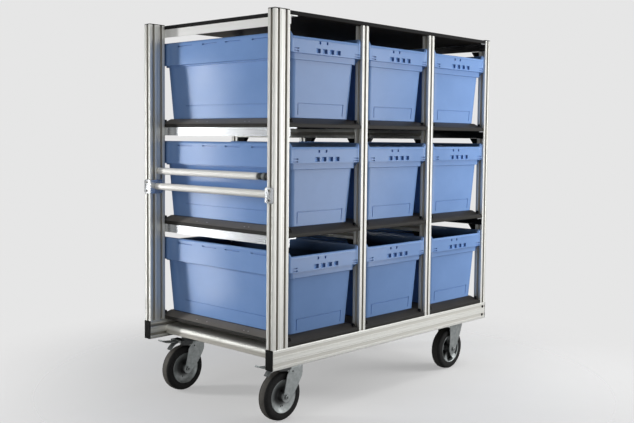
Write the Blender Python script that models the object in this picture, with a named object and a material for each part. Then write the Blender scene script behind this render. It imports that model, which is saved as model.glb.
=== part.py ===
"""Order-picking roll container: a slotted aluminium frame on four casters, three raised shelf
decks, nine sliding plastic crates and two push bars at the left end.

Units are metres and +Z is up. The long side runs along X, the crates slide out towards -Y, and
the push bars are at the -X end. The origin is on the floor, under the middle of the object.
"""

import math

import bmesh
import bpy
from mathutils import Matrix

# Frame: square modules of slotted profile
MODULE = 0.040
SLOT_OPENING = 0.008
SLOT_LIP = 0.0045
SLOT_CAVITY = 0.015
SLOT_DEPTH = 0.0115
PROFILE_CORNER = 0.0015
GAP = 0.0003
BAYS = 3
BEAM_DROP = 0.015
LEFT_POST_MODULE_COUNT = 2
BEAM_MODULE_COUNT = 2
CROSS_RAIL_MODULE_COUNT = 4

# Top panel and the angles that carry the ends of the shelves
PANEL_THICKNESS = 0.016
PANEL_EDGE_RADIUS = 0.0015
ANGLE_LEG = 0.040
ANGLE_DROP = 0.035
ANGLE_THICKNESS = 0.004

# Shelf decks with one raised plinth in each bay
DECK_EDGE = 0.015
PLINTH_RISE = 0.022
PLINTH_FOOT_INSET = 0.004
PLINTH_TOP_INSET = 0.035

# Crates: a tapered tub with a stepped rim, its ends lower than its sides
CRATE_WIDTH = 0.414
CRATE_LENGTH = 0.812
CRATE_SIDE_CLEARANCE = 0.0055
CRATE_END_CLEARANCE = 0.004
CRATE_SIDE_HEIGHT = 0.331
CRATE_HEADROOM = 0.060
CRATE_END_HEIGHT = 0.315
CRATE_EAR_WIDTH = 0.012
CRATE_END_RIM_BOTTOM = 0.251
CRATE_SIDE_RIM_BOTTOM = 0.232
CRATE_SIDE_RIM_START = 0.022
CRATE_STEP_BOTTOM = 0.226
CRATE_STEP_INSET = 0.013
CRATE_WALL_INSET = 0.020
CRATE_BASE_INSET = 0.034
CRATE_WALL = 0.004
CRATE_RIM_RADIUS = 0.006
CRATE_STEP_RADIUS = 0.014
CRATE_BODY_RADIUS = 0.020
CRATE_CORNER_STEPS = 2

# Casters: wheel, axle and mounting plate
WHEEL_RADIUS = 0.100
TYRE_WIDTH = 0.050
TYRE_SHOULDER = 0.008
TYRE_THICKNESS = 0.032
RIM_LIP = 0.006
RIM_WEB = 0.012
HUB_WIDTH = 0.066
HUB_RADIUS = 0.021
AXLE_RADIUS = 0.006
AXLE_HEAD_RADIUS = 0.010
AXLE_HEAD_HEIGHT = 0.009
WHEEL_STEPS = 28
AXLE_STEPS = 16
CASTER_HEAD = 0.053
CASTER_PLATE_LENGTH = 0.130
CASTER_PLATE_WIDTH = 0.110
CASTER_PLATE_THICKNESS = 0.005
CASTER_SIDE_CLEARANCE = 0.0025
CASTER_LEFT_INSET = 0.181
CASTER_RIGHT_INSET = 0.168
CROSS_RAIL_LEFT_INSET = 0.086
CROSS_RAIL_RIGHT_INSET = 0.088

# Casters: fork, swivel head and brake pedal. Edges are (x, z) points seen from the side,
# with x counted from the middle of the plate and z from the axle
FORK_SHEET = 0.004
FORK_FOOT_RADIUS = 0.024
FORK_FOOT_SHIFT = 0.005
FORK_BACK_EDGE = ((-0.038, 0.108), (-0.046, 0.100), (-0.064, 0.055))
FORK_FRONT_EDGE = ((0.009, 0.042), (0.036, 0.071), (0.038, 0.097))
FORK_EAR = 0.088
FORK_EAR_DEPTH = 0.016
FIXED_BACK_EDGE = ((-0.048, 0.115), (-0.040, 0.080))
FIXED_FRONT_EDGE = ((0.012, 0.040), (0.042, 0.072), (0.048, 0.100))
FIXED_TRAIL = 0.018
CASTER_TRAIL = 0.050
RACE_RADIUS = 0.038
RACE_HEIGHT = 0.013
KINGPIN_RADIUS = 0.008
KINGPIN_NUT_RADIUS = 0.012
KINGPIN_NUT_HEIGHT = 0.008
KINGPIN_STEPS = 24
UNION_OVERLAP = 0.001
CUTTER_OVERRUN = 0.010
PEDAL_PIVOT_BACK = 0.080
PEDAL_PIVOT_DROP = 0.008
PEDAL_HUB_RADIUS = 0.0055
PEDAL_THICKNESS = 0.005
PEDAL_WIDTH = 0.034
PEDAL_REACH = 0.078
PEDAL_TIP_LIFT = 0.008
PEDAL_TIP_LENGTH = 0.022
PEDAL_HUB_STEPS = 12

# Push bars at the left end
BAR_RADIUS = 0.0135
BAR_WALL = 0.002
BAR_STEPS = 18
UPPER_BAR_IN = 0.049
UPPER_BAR_ABOVE_BEAM = 0.664
UPPER_BAR_COLLAR_RADIUS = 0.017
UPPER_BAR_COLLAR_LENGTH = 0.036
LOWER_BAR_IN = 0.033
LOWER_BAR_ABOVE_BEAM = 0.602
BRACKET_THICKNESS = 0.004
BRACKET_HEIGHT = 0.061
BRACKET_DROP = 0.006
BRACKET_FRONT_MARGIN = 0.003
BRACKET_INNER_LEG = 0.060

# Places worked out from the sizes above
TYRE_SEAT_RADIUS = WHEEL_RADIUS - TYRE_THICKNESS
CASTER_HEIGHT = 2 * WHEEL_RADIUS + CASTER_HEAD
BEAM_BOTTOM = CASTER_HEIGHT - BEAM_DROP
BAY_WIDTH = CRATE_WIDTH + 2 * CRATE_SIDE_CLEARANCE
FRAME_DEPTH = CRATE_LENGTH + 2 * CRATE_END_CLEARANCE
DECK_HEIGHT = DECK_EDGE + PLINTH_RISE
SHELF_PITCH = DECK_HEIGHT + CRATE_SIDE_HEIGHT + CRATE_HEADROOM
LEFT_POST = LEFT_POST_MODULE_COUNT * MODULE
LENGTH = LEFT_POST + BAYS * (BAY_WIDTH + MODULE)
LEFT = -(LENGTH - BRACKET_THICKNESS - GAP) / 2
RIGHT = LEFT + LENGTH
FRONT = -FRAME_DEPTH / 2
REAR = FRAME_DEPTH / 2
SHELVES_LEFT = LEFT + LEFT_POST
SHELVES_RIGHT = RIGHT - MODULE
BEAM_TOP = BEAM_BOTTOM + BEAM_MODULE_COUNT * MODULE
PANEL_BOTTOM = BEAM_TOP + BAYS * SHELF_PITCH
POST_TOP = PANEL_BOTTOM + PANEL_THICKNESS
INNER_FRONT = FRONT + MODULE + GAP
INNER_LENGTH = FRAME_DEPTH - 2 * (MODULE + GAP)
WHEEL_GAP = HUB_WIDTH / 2 + GAP
FORK_OUTER = WHEEL_GAP + FORK_SHEET
PLATE_TOP = CASTER_HEIGHT - GAP
PLATE_BOTTOM = PLATE_TOP - CASTER_PLATE_THICKNESS
CROWN_TOP = PLATE_BOTTOM - RACE_HEIGHT - GAP
CROWN_BOTTOM = CROWN_TOP - FORK_SHEET
CASTER_FRONT = INNER_FRONT + CASTER_SIDE_CLEARANCE + CASTER_PLATE_WIDTH / 2
CASTER_REAR = -CASTER_FRONT
ROWS = ("lower", "middle", "upper")
COLUMNS = ("left", "centre", "right")

# Directions for pieces that are drawn in (u, v) and pushed along w
UPRIGHT = Matrix.Identity(4)
ALONG_X = Matrix(((0, 0, 1, 0), (1, 0, 0, 0), (0, 1, 0, 0), (0, 0, 0, 1)))
ALONG_Y = Matrix(((0, 1, 0, 0), (0, 0, 1, 0), (1, 0, 0, 0), (0, 0, 0, 1)))
SHARP_EDGE = math.radians(35)


def clear_scene():
    for old in list(bpy.data.objects):
        bpy.data.objects.remove(old, do_unlink=True)


def make_material(name, colour, roughness, metallic=0.0):
    material = bpy.data.materials.new(name)
    material.use_nodes = True
    shader = material.node_tree.nodes["Principled BSDF"]
    shader.inputs["Base Color"].default_value = (*colour, 1.0)
    shader.inputs["Roughness"].default_value = roughness
    shader.inputs["Metallic"].default_value = metallic
    material.diffuse_color = (*colour, 1.0)
    return material


def add_object(name, mesh, material, place=(0, 0, 0), parent=None):
    piece = bpy.data.objects.new(name, mesh)
    piece.location = place
    piece.parent = parent
    if not mesh.materials:
        mesh.materials.append(material)
    bpy.context.scene.collection.objects.link(piece)
    return piece


def add_empty(name, place, parent=None):
    empty = bpy.data.objects.new(name, None)
    empty.location = place
    empty.parent = parent
    bpy.context.scene.collection.objects.link(empty)
    return empty


def finish_mesh(bm, name, direction=UPRIGHT, smooth=False):
    """Turns the bmesh the right way, makes its faces point out and stores it."""
    bmesh.ops.transform(bm, matrix=direction, verts=bm.verts)
    bmesh.ops.recalc_face_normals(bm, faces=bm.faces)
    mesh = bpy.data.meshes.new(name)
    bm.to_mesh(mesh)
    bm.free()
    if smooth:
        mesh.shade_smooth()
        mesh.set_sharp_from_angle(angle=SHARP_EDGE)
    return mesh


def prism_mesh(name, outline, length, direction=UPRIGHT, start=0.0, smooth=False):
    """An outline in (u, v), extruded from w = start by length."""
    bm = bmesh.new()
    face = bm.faces.new([bm.verts.new((u, v, start)) for u, v in outline])
    extruded = bmesh.ops.extrude_face_region(bm, geom=[face])
    moved = [item for item in extruded["geom"] if isinstance(item, bmesh.types.BMVert)]
    bmesh.ops.translate(bm, vec=(0, 0, length), verts=moved)
    return finish_mesh(bm, name, direction, smooth)


def turned_mesh(name, profile, steps, direction=UPRIGHT):
    """A closed ring: the profile of (radius, w) points, turned round the w axis."""
    bm = bmesh.new()
    points = [bm.verts.new((radius, 0, w)) for radius, w in profile]
    edges = [bm.edges.new((points[i - 1], points[i])) for i in range(len(points))]
    bmesh.ops.spin(
        bm,
        geom=points + edges,
        cent=(0, 0, 0),
        axis=(0, 0, 1),
        angle=math.tau,
        steps=steps,
        use_merge=True,
    )
    bmesh.ops.remove_doubles(bm, verts=bm.verts, dist=GAP / 10)
    return finish_mesh(bm, name, direction, smooth=True)


def loft_mesh(name, loops, direction=UPRIGHT, smooth=False):
    """Joins loops of equally many points in order, and closes the first and the last."""
    bm = bmesh.new()
    rings = [[bm.verts.new(point) for point in loop] for loop in loops]
    for lower, upper in zip(rings, rings[1:]):
        for i in range(len(lower)):
            bm.faces.new((lower[i - 1], lower[i], upper[i], upper[i - 1]))
    bm.faces.new(rings[0])
    bm.faces.new(rings[-1])
    return finish_mesh(bm, name, direction, smooth)


def circle(radius, steps, centre=(0.0, 0.0)):
    turn = math.tau / steps
    return [
        (centre[0] + radius * math.cos(i * turn), centre[1] + radius * math.sin(i * turn))
        for i in range(steps)
    ]


def arc(centre, radius, first, last, steps):
    """Points on an arc, with its angles in degrees."""
    angles = [math.radians(first + (last - first) * i / steps) for i in range(steps + 1)]
    return [(centre[0] + radius * math.cos(a), centre[1] + radius * math.sin(a)) for a in angles]


def stack_mesh(name, profile, steps, direction=UPRIGHT):
    """A solid turned piece: (radius, w) points from one end face to the other."""
    loops = [[(x, y, w) for x, y in circle(radius, steps)] for radius, w in profile]
    return loft_mesh(name, loops, direction, smooth=True)


def rectangle(low_u, low_v, high_u, high_v):
    return [(low_u, low_v), (high_u, low_v), (high_u, high_v), (low_u, high_v)]


def slotted_outline(modules_u, modules_v):
    """The outline of a slotted profile, one T slot in each module of each side."""
    half = SLOT_OPENING / 2
    wide = SLOT_CAVITY / 2
    slot = (
        (-half, 0.0),
        (-half, SLOT_LIP),
        (-wide, SLOT_LIP),
        (-wide, SLOT_DEPTH),
        (wide, SLOT_DEPTH),
        (wide, SLOT_LIP),
        (half, SLOT_LIP),
        (half, 0.0),
    )
    size_u = modules_u * MODULE
    size_v = modules_v * MODULE
    sides = (
        ((0.0, 0.0), (1, 0), modules_u),
        ((size_u, 0.0), (0, 1), modules_v),
        ((size_u, size_v), (-1, 0), modules_u),
        ((0.0, size_v), (0, -1), modules_v),
    )
    outline = []
    for (corner_u, corner_v), (along_u, along_v), modules in sides:
        side = modules * MODULE
        places = [(PROFILE_CORNER, 0.0)]
        for i in range(modules):
            middle = (i + 0.5) * MODULE
            places += [(middle + along, deep) for along, deep in slot]
        places.append((side - PROFILE_CORNER, 0.0))
        for along, deep in places:
            outline.append(
                (
                    corner_u + along * along_u - deep * along_v,
                    corner_v + along * along_v + deep * along_u,
                )
            )
    return outline


def add_profile(name, modules, length, direction, place, material):
    mesh = prism_mesh(name, slotted_outline(*modules), length, direction)
    return add_object(name, mesh, material, place)


def add_cutter(name, mesh, place, material, parent=None):
    """A helper shape for a Boolean, left out of the part."""
    cutter = add_object(name, mesh, material, place, parent)
    cutter.hide_render = True
    cutter.display_type = "WIRE"
    return cutter


def add_boolean(piece, other, operation):
    modifier = piece.modifiers.new(operation.title(), "BOOLEAN")
    modifier.operation = operation
    modifier.solver = "EXACT"
    modifier.object = other


def bay_left(column):
    return SHELVES_LEFT + column * (BAY_WIDTH + MODULE)


def divider_left(number):
    return bay_left(number) + BAY_WIDTH


def shelf_level(row):
    return BEAM_TOP + row * SHELF_PITCH


def build_posts(aluminium):
    corner_length = POST_TOP - BEAM_TOP - GAP
    divider_length = PANEL_BOTTOM - BEAM_TOP - 2 * GAP
    foot = BEAM_TOP + GAP
    for side, y in (("front", FRONT), ("rear", REAR - MODULE)):
        add_profile(
            f"corner_post_{side}_left",
            (LEFT_POST_MODULE_COUNT, 1),
            corner_length,
            UPRIGHT,
            (LEFT, y, foot),
            aluminium,
        )
        add_profile(
            f"corner_post_{side}_right",
            (1, 1),
            corner_length,
            UPRIGHT,
            (SHELVES_RIGHT, y, foot),
            aluminium,
        )
        for number in range(BAYS - 1):
            add_profile(
                f"divider_post_{side}_{number + 1}",
                (1, 1),
                divider_length,
                UPRIGHT,
                (divider_left(number), y, foot),
                aluminium,
            )


def build_base(aluminium):
    for side, y in (("front", FRONT), ("rear", REAR - MODULE)):
        add_profile(
            f"base_beam_{side}",
            (1, BEAM_MODULE_COUNT),
            LENGTH,
            ALONG_X,
            (LEFT, y, BEAM_BOTTOM),
            aluminium,
        )
    rail_width = CROSS_RAIL_MODULE_COUNT * MODULE
    for side, left in (
        ("left", LEFT + CROSS_RAIL_LEFT_INSET),
        ("right", RIGHT - CROSS_RAIL_RIGHT_INSET - rail_width),
    ):
        add_profile(
            f"cross_rail_{side}",
            (1, CROSS_RAIL_MODULE_COUNT),
            INNER_LENGTH,
            ALONG_Y,
            (left, INNER_FRONT, CASTER_HEIGHT),
            aluminium,
        )


def build_shelf_carriers(aluminium, bright):
    """Angles at both ends under each shelf and the top panel, and bars at the dividers."""
    angle = [
        (0.0, 0.0),
        (0.0, -ANGLE_LEG),
        (-ANGLE_THICKNESS, -ANGLE_LEG),
        (-ANGLE_THICKNESS, -ANGLE_THICKNESS),
        (-ANGLE_DROP, -ANGLE_THICKNESS),
        (-ANGLE_DROP, 0.0),
    ]
    mirrored = [(u, -v) for u, v in reversed(angle)]
    length = FRAME_DEPTH - 2 * GAP
    for row, level_name in ((1, "middle"), (2, "upper"), (3, "top")):
        level = shelf_level(row) - GAP
        for side, x, outline in (
            ("left", SHELVES_LEFT + GAP, mirrored),
            ("right", SHELVES_RIGHT - GAP, angle),
        ):
            name = f"end_angle_{side}_{level_name}"
            mesh = prism_mesh(name, outline, length, ALONG_Y)
            add_object(name, mesh, bright, (x, FRONT + GAP, level))
        if row == BAYS:
            continue
        for number in range(BAYS - 1):
            add_profile(
                f"shelf_bar_{level_name}_{number + 1}",
                (1, 1),
                INNER_LENGTH,
                ALONG_Y,
                (divider_left(number), INNER_FRONT, level - MODULE),
                aluminium,
            )


def build_panel(black):
    mesh = prism_mesh(
        "top_panel",
        rectangle(SHELVES_LEFT + GAP, FRONT, SHELVES_RIGHT - GAP, REAR),
        PANEL_THICKNESS,
    )
    panel = add_object("top_panel", mesh, black, (0, 0, PANEL_BOTTOM))
    bevel = panel.modifiers.new("Edge", "BEVEL")
    bevel.width = PANEL_EDGE_RADIUS
    bevel.segments = 1


def bay_rectangle(column, inset, z):
    low_x = bay_left(column) + GAP + inset
    high_x = bay_left(column) + BAY_WIDTH - GAP - inset
    low_y = FRONT + GAP + inset
    high_y = REAR - GAP - inset
    return [(low_x, low_y, z), (high_x, low_y, z), (high_x, high_y, z), (low_x, high_y, z)]


def deck_mesh():
    """One shelf deck: a flat box round the divider posts, with a raised plinth in each bay."""
    bm = bmesh.new()
    found = {}

    def vertex(x, y, z):
        key = (round(x, 7), round(y, 7), round(z, 7))
        if key not in found:
            found[key] = bm.verts.new((x, y, z))
        return found[key]

    def ring(outer, inner):
        for i in range(len(outer)):
            bm.faces.new([vertex(*p) for p in (outer[i - 1], outer[i], inner[i], inner[i - 1])])

    notch_front = INNER_FRONT + GAP
    notch_rear = -notch_front
    strips = []
    for column in range(BAYS):
        rim = bay_rectangle(column, 0.0, DECK_EDGE)
        foot = bay_rectangle(column, PLINTH_FOOT_INSET, DECK_EDGE)
        top = bay_rectangle(column, PLINTH_TOP_INSET, DECK_HEIGHT)
        ring(foot, top)
        bm.faces.new([vertex(*point) for point in top])
        # The ring of flat deck round the plinth, with the posts' notch corners on its sides
        right = [rim[1]]
        left = [rim[3]]
        if column < BAYS - 1:
            right += [(rim[1][0], notch_front, DECK_EDGE), (rim[1][0], notch_rear, DECK_EDGE)]
        if column > 0:
            left += [(rim[0][0], notch_rear, DECK_EDGE), (rim[0][0], notch_front, DECK_EDGE)]
        for outer, inner in (
            ([rim[0], rim[1]], (foot[1], foot[0])),
            (right + [rim[2]], (foot[2], foot[1])),
            ([rim[2], rim[3]], (foot[3], foot[2])),
            (left + [rim[0]], (foot[0], foot[3])),
        ):
            bm.faces.new([vertex(*point) for point in (*outer, *inner)])
        if column > 0:
            strips.append(left[1:3])
            bm.faces.new([vertex(*point) for point in (*strips[-2][:], *left[1:3])])
        if column < BAYS - 1:
            strips.append(right[1:3])
    border = [edge for edge in bm.edges if edge.is_boundary]
    skirt = bmesh.ops.extrude_edge_only(bm, edges=border)["geom"]
    lowered = [item for item in skirt if isinstance(item, bmesh.types.BMVert)]
    bmesh.ops.translate(bm, vec=(0, 0, -DECK_EDGE), verts=lowered)
    bmesh.ops.contextual_create(bm, geom=[edge for edge in bm.edges if edge.is_boundary])
    return finish_mesh(bm, "shelf_deck")


def build_decks(dark_steel):
    mesh = deck_mesh()
    for row, row_name in enumerate(ROWS):
        level = shelf_level(row) + GAP * (row == 0)
        add_object(f"shelf_deck_{row_name}", mesh, dark_steel, (0, 0, level))


def crate_loop(inset, radius, side, corner=None, end=None):
    """A rounded rectangle, set in from the crate's outer size, at the given heights.

    The corners and the two short ends are at the height of the long sides if theirs isn't given.
    """
    corner = side if corner is None else corner
    end = side if end is None else end
    half_x = CRATE_WIDTH / 2 - inset
    half_y = CRATE_LENGTH / 2 - inset
    middle_x = half_x - radius
    middle_y = half_y - radius
    ear_x = middle_x - CRATE_EAR_WIDTH
    rim_y = middle_y - CRATE_SIDE_RIM_START
    quarters = (
        ((middle_x, middle_y), 0, (half_x, rim_y, side), (ear_x, half_y, end)),
        ((-middle_x, middle_y), 90, (-ear_x, half_y, end), (-half_x, rim_y, side)),
        ((-middle_x, -middle_y), 180, (-half_x, -rim_y, side), (-ear_x, -half_y, end)),
        ((middle_x, -middle_y), 270, (ear_x, -half_y, end), (half_x, -rim_y, side)),
    )
    loop = []
    for centre, first, before, after in quarters:
        turned = arc(centre, radius, first, first + 90, CRATE_CORNER_STEPS)
        loop += [before, *((x, y, corner) for x, y in turned), after]
    return loop


def crate_mesh():
    """A moulded tub of even wall: up its outside, over the rim, and down its inside."""
    wall = CRATE_WALL
    rim = CRATE_RIM_RADIUS
    step = CRATE_STEP_RADIUS
    body = CRATE_BODY_RADIUS
    rim_bottom = (CRATE_SIDE_RIM_BOTTOM, CRATE_END_RIM_BOTTOM, CRATE_END_RIM_BOTTOM)
    rim_top = (CRATE_SIDE_HEIGHT, CRATE_SIDE_HEIGHT, CRATE_END_HEIGHT)
    loops = [
        crate_loop(CRATE_BASE_INSET, body, 0.0),
        crate_loop(CRATE_WALL_INSET, body, CRATE_STEP_BOTTOM),
        crate_loop(CRATE_STEP_INSET, step, CRATE_STEP_BOTTOM),
        crate_loop(CRATE_STEP_INSET, step, *rim_bottom),
        crate_loop(0.0, rim, *rim_bottom),
        crate_loop(0.0, rim, *rim_top),
        crate_loop(wall, rim - wall, *rim_top),
        crate_loop(wall, rim - wall, CRATE_END_RIM_BOTTOM + wall),
        crate_loop(CRATE_STEP_INSET + wall, step - wall, CRATE_END_RIM_BOTTOM + wall),
        crate_loop(CRATE_WALL_INSET + wall, body - wall, CRATE_STEP_BOTTOM + wall),
        crate_loop(CRATE_BASE_INSET + wall, body - wall, wall),
    ]
    return loft_mesh("crate", loops)


def build_crates(blue):
    mesh = crate_mesh()
    for row, row_name in enumerate(ROWS):
        base = shelf_level(row) + GAP * (row == 0) + DECK_HEIGHT + GAP
        for column, column_name in enumerate(COLUMNS):
            middle = bay_left(column) + BAY_WIDTH / 2
            add_object(f"crate_{row_name}_{column_name}", mesh, blue, (middle, 0, base))


def wheel_meshes():
    """The tyre and the rim, turned round the axle."""
    half = TYRE_WIDTH / 2
    tyre = [
        (TYRE_SEAT_RADIUS, -half),
        (WHEEL_RADIUS - TYRE_SHOULDER, -half),
        (WHEEL_RADIUS, -half + TYRE_SHOULDER),
        (WHEEL_RADIUS, half - TYRE_SHOULDER),
        (WHEEL_RADIUS - TYRE_SHOULDER, half),
        (TYRE_SEAT_RADIUS, half),
    ]
    edge = TYRE_SEAT_RADIUS - GAP
    bore = AXLE_RADIUS + GAP
    hub = HUB_WIDTH / 2
    outer = half - GAP
    web = RIM_WEB / 2
    rim = [
        (bore, -hub),
        (HUB_RADIUS, -hub),
        (HUB_RADIUS, -web),
        (edge - RIM_LIP, -web),
        (edge - RIM_LIP, -outer),
        (edge, -outer),
        (edge, outer),
        (edge - RIM_LIP, outer),
        (edge - RIM_LIP, web),
        (HUB_RADIUS, web),
        (HUB_RADIUS, hub),
        (bore, hub),
    ]
    return (
        turned_mesh("tyre", tyre, WHEEL_STEPS, ALONG_Y),
        turned_mesh("rim", rim, WHEEL_STEPS, ALONG_Y),
    )


def axle_mesh():
    """A bolt across the fork, with a flat head at each end."""
    head = FORK_OUTER + GAP
    end = head + AXLE_HEAD_HEIGHT
    profile = [
        (AXLE_HEAD_RADIUS, -end),
        (AXLE_HEAD_RADIUS, -head),
        (AXLE_RADIUS, -head),
        (AXLE_RADIUS, head),
        (AXLE_HEAD_RADIUS, head),
        (AXLE_HEAD_RADIUS, end),
    ]
    return stack_mesh("axle", profile, AXLE_STEPS, ALONG_Y)


def channel_outline(top, bottom):
    """An inverted U of sheet, open downwards. In (u, v), u is up and v is across the wheel."""
    return [
        (bottom, -FORK_OUTER),
        (top, -FORK_OUTER),
        (top, FORK_OUTER),
        (bottom, FORK_OUTER),
        (bottom, WHEEL_GAP),
        (top - FORK_SHEET, WHEEL_GAP),
        (top - FORK_SHEET, -WHEEL_GAP),
        (bottom, -WHEEL_GAP),
    ]


def channel_mesh(name, top, back, front):
    """The U of sheet, laid from x = -back to x = front."""
    lie = Matrix(((0, 0, 1, 0), (0, 1, 0, 0), (1, 0, 0, 0), (0, 0, 0, 1)))
    bottom = WHEEL_RADIUS - FORK_FOOT_RADIUS - CUTTER_OVERRUN
    return prism_mesh(name, channel_outline(top, bottom), back + front, lie, start=-back)


def side_cutter(name, outline, place, material, parent):
    """What a fork keeps, seen from the side: an outline in (x, z), pushed right across."""
    across = 2 * (FORK_OUTER + CUTTER_OVERRUN)
    lie = Matrix(((1, 0, 0, 0), (0, 0, 1, 0), (0, 1, 0, 0), (0, 0, 0, 1)))
    mesh = prism_mesh(name, outline, across, lie, start=-across / 2)
    return add_cutter(name, mesh, place, material, parent)


def axle_cutter(name, place, material, parent):
    across = 2 * (FORK_OUTER + CUTTER_OVERRUN)
    outline = circle(AXLE_RADIUS + GAP, AXLE_STEPS)
    mesh = prism_mesh(name, outline, across, ALONG_Y, start=-across / 2)
    return add_cutter(name, mesh, place, material, parent)


def plate_mesh(name, bottom, top):
    half_x = CASTER_PLATE_LENGTH / 2
    half_y = CASTER_PLATE_WIDTH / 2
    return prism_mesh(name, rectangle(-half_x, -half_y, half_x, half_y), top - bottom, start=bottom)


def above_axle(edge):
    return [(x, WHEEL_RADIUS + z) for x, z in edge]


def foot_arc(trail):
    """The rounded foot of a fork leg, round the axle."""
    centre = (FORK_FOOT_SHIFT - trail, WHEEL_RADIUS)
    return arc(centre, FORK_FOOT_RADIUS, 180, 355, 6)


def fork_outline():
    """The swivel fork from the side: crown under the head, ears for the pedal, foot at the axle."""
    top = CROWN_TOP + CUTTER_OVERRUN
    ear_top = CROWN_BOTTOM - GAP
    ear_bottom = ear_top - FORK_EAR_DEPTH
    back = FORK_BACK_EDGE[0][0]
    return [
        (FORK_FRONT_EDGE[-1][0], top),
        (back, top),
        (back, ear_top),
        (-FORK_EAR, ear_top),
        (-FORK_EAR, ear_bottom),
        *above_axle(FORK_BACK_EDGE),
        *foot_arc(CASTER_TRAIL),
        *above_axle(FORK_FRONT_EDGE),
    ]


def pedal_outline():
    """Seen from the side, from its hinge back to the upturned tip."""
    half = PEDAL_THICKNESS / 2
    bend = -(PEDAL_REACH - PEDAL_TIP_LENGTH)
    return [
        (0.0, half),
        (bend, half),
        (-PEDAL_REACH, PEDAL_TIP_LIFT + half),
        (-PEDAL_REACH, PEDAL_TIP_LIFT - half),
        (bend, -half),
        (0.0, -half),
    ]


def add_wheel(corner, place, parent, meshes, steel, rubber):
    tyre, rim = meshes
    hub = add_empty(f"wheel_axis_{corner}", place, parent)
    add_object(f"wheel_rim_{corner}", rim, steel, parent=hub)
    add_object(f"wheel_tyre_{corner}", tyre, rubber, parent=hub)


def build_swivel_caster(corner, x, y, shared, steel, rubber):
    """Plate with its ball race and kingpin, then everything that turns under it."""
    base = add_empty(f"caster_place_{corner}", (x, y, 0))
    plate = add_object(
        f"caster_plate_{corner}", plate_mesh("plate", PLATE_BOTTOM, PLATE_TOP), steel, parent=base
    )
    race_profile = [
        (KINGPIN_NUT_RADIUS, CROWN_BOTTOM - GAP - KINGPIN_NUT_HEIGHT),
        (KINGPIN_NUT_RADIUS, CROWN_BOTTOM - GAP),
        (KINGPIN_RADIUS, CROWN_BOTTOM - GAP),
        (KINGPIN_RADIUS, CROWN_TOP + GAP),
        (RACE_RADIUS, CROWN_TOP + GAP),
        (RACE_RADIUS, PLATE_BOTTOM + UNION_OVERLAP),
    ]
    race = add_cutter(
        f"race_{corner}", stack_mesh("race", race_profile, KINGPIN_STEPS), (0, 0, 0), steel, base
    )
    add_boolean(plate, race, "UNION")

    swivel = add_empty(f"swivel_axis_{corner}", (0, 0, 0), base)
    front = FORK_FRONT_EDGE[-1][0]
    fork = add_object(
        f"caster_fork_{corner}",
        channel_mesh("fork", CROWN_TOP, FORK_EAR + CUTTER_OVERRUN, front + CUTTER_OVERRUN),
        steel,
        parent=swivel,
    )
    keep = side_cutter(f"fork_side_{corner}", fork_outline(), (0, 0, 0), steel, swivel)
    add_boolean(fork, keep, "INTERSECT")
    axle_place = (-CASTER_TRAIL, 0, WHEEL_RADIUS)
    hole = axle_cutter(f"axle_hole_{corner}", axle_place, steel, swivel)
    add_boolean(fork, hole, "DIFFERENCE")
    pin_hole = add_cutter(
        f"kingpin_hole_{corner}",
        prism_mesh(
            "kingpin_hole",
            circle(KINGPIN_RADIUS + GAP, KINGPIN_STEPS),
            FORK_SHEET + 2 * CUTTER_OVERRUN,
            start=CROWN_BOTTOM - CUTTER_OVERRUN,
        ),
        (0, 0, 0),
        steel,
        swivel,
    )
    add_boolean(fork, pin_hole, "DIFFERENCE")
    add_object(f"wheel_axle_{corner}", shared["axle"], steel, axle_place, swivel)
    add_wheel(corner, axle_place, swivel, shared["wheel"], steel, rubber)

    pivot = (-PEDAL_PIVOT_BACK, 0, CROWN_BOTTOM - PEDAL_PIVOT_DROP)
    pedal = add_object(f"brake_pedal_{corner}", shared["pedal"], steel, pivot, swivel)
    hinge = add_cutter(f"pedal_hinge_{corner}", shared["hinge"], pivot, steel, swivel)
    add_boolean(pedal, hinge, "UNION")


def build_fixed_caster(corner, x, y, shared, steel, rubber):
    """A plate with two cheeks that carry the axle, all one pressing."""
    base = add_empty(f"caster_place_{corner}", (x, y, 0))
    web_top = PLATE_BOTTOM + UNION_OVERLAP
    back = -FIXED_BACK_EDGE[0][0]
    front = FIXED_FRONT_EDGE[-1][0]
    cheek = add_object(
        f"caster_bracket_{corner}",
        channel_mesh("bracket", web_top, back + CUTTER_OVERRUN, front + CUTTER_OVERRUN),
        steel,
        parent=base,
    )
    outline = [
        (front, web_top + CUTTER_OVERRUN),
        (-back, web_top + CUTTER_OVERRUN),
        *above_axle(FIXED_BACK_EDGE),
        *foot_arc(FIXED_TRAIL),
        *above_axle(FIXED_FRONT_EDGE),
    ]
    keep = side_cutter(f"bracket_side_{corner}", outline, (0, 0, 0), steel, base)
    add_boolean(cheek, keep, "INTERSECT")
    axle_place = (-FIXED_TRAIL, 0, WHEEL_RADIUS)
    hole = axle_cutter(f"axle_hole_{corner}", axle_place, steel, base)
    add_boolean(cheek, hole, "DIFFERENCE")
    plate = add_cutter(
        f"plate_{corner}", plate_mesh("fixed_plate", PLATE_BOTTOM, PLATE_TOP), (0, 0, 0), steel, base
    )
    add_boolean(cheek, plate, "UNION")
    add_object(f"wheel_axle_{corner}", shared["axle"], steel, axle_place, base)
    add_wheel(corner, axle_place, base, shared["wheel"], steel, rubber)


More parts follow.
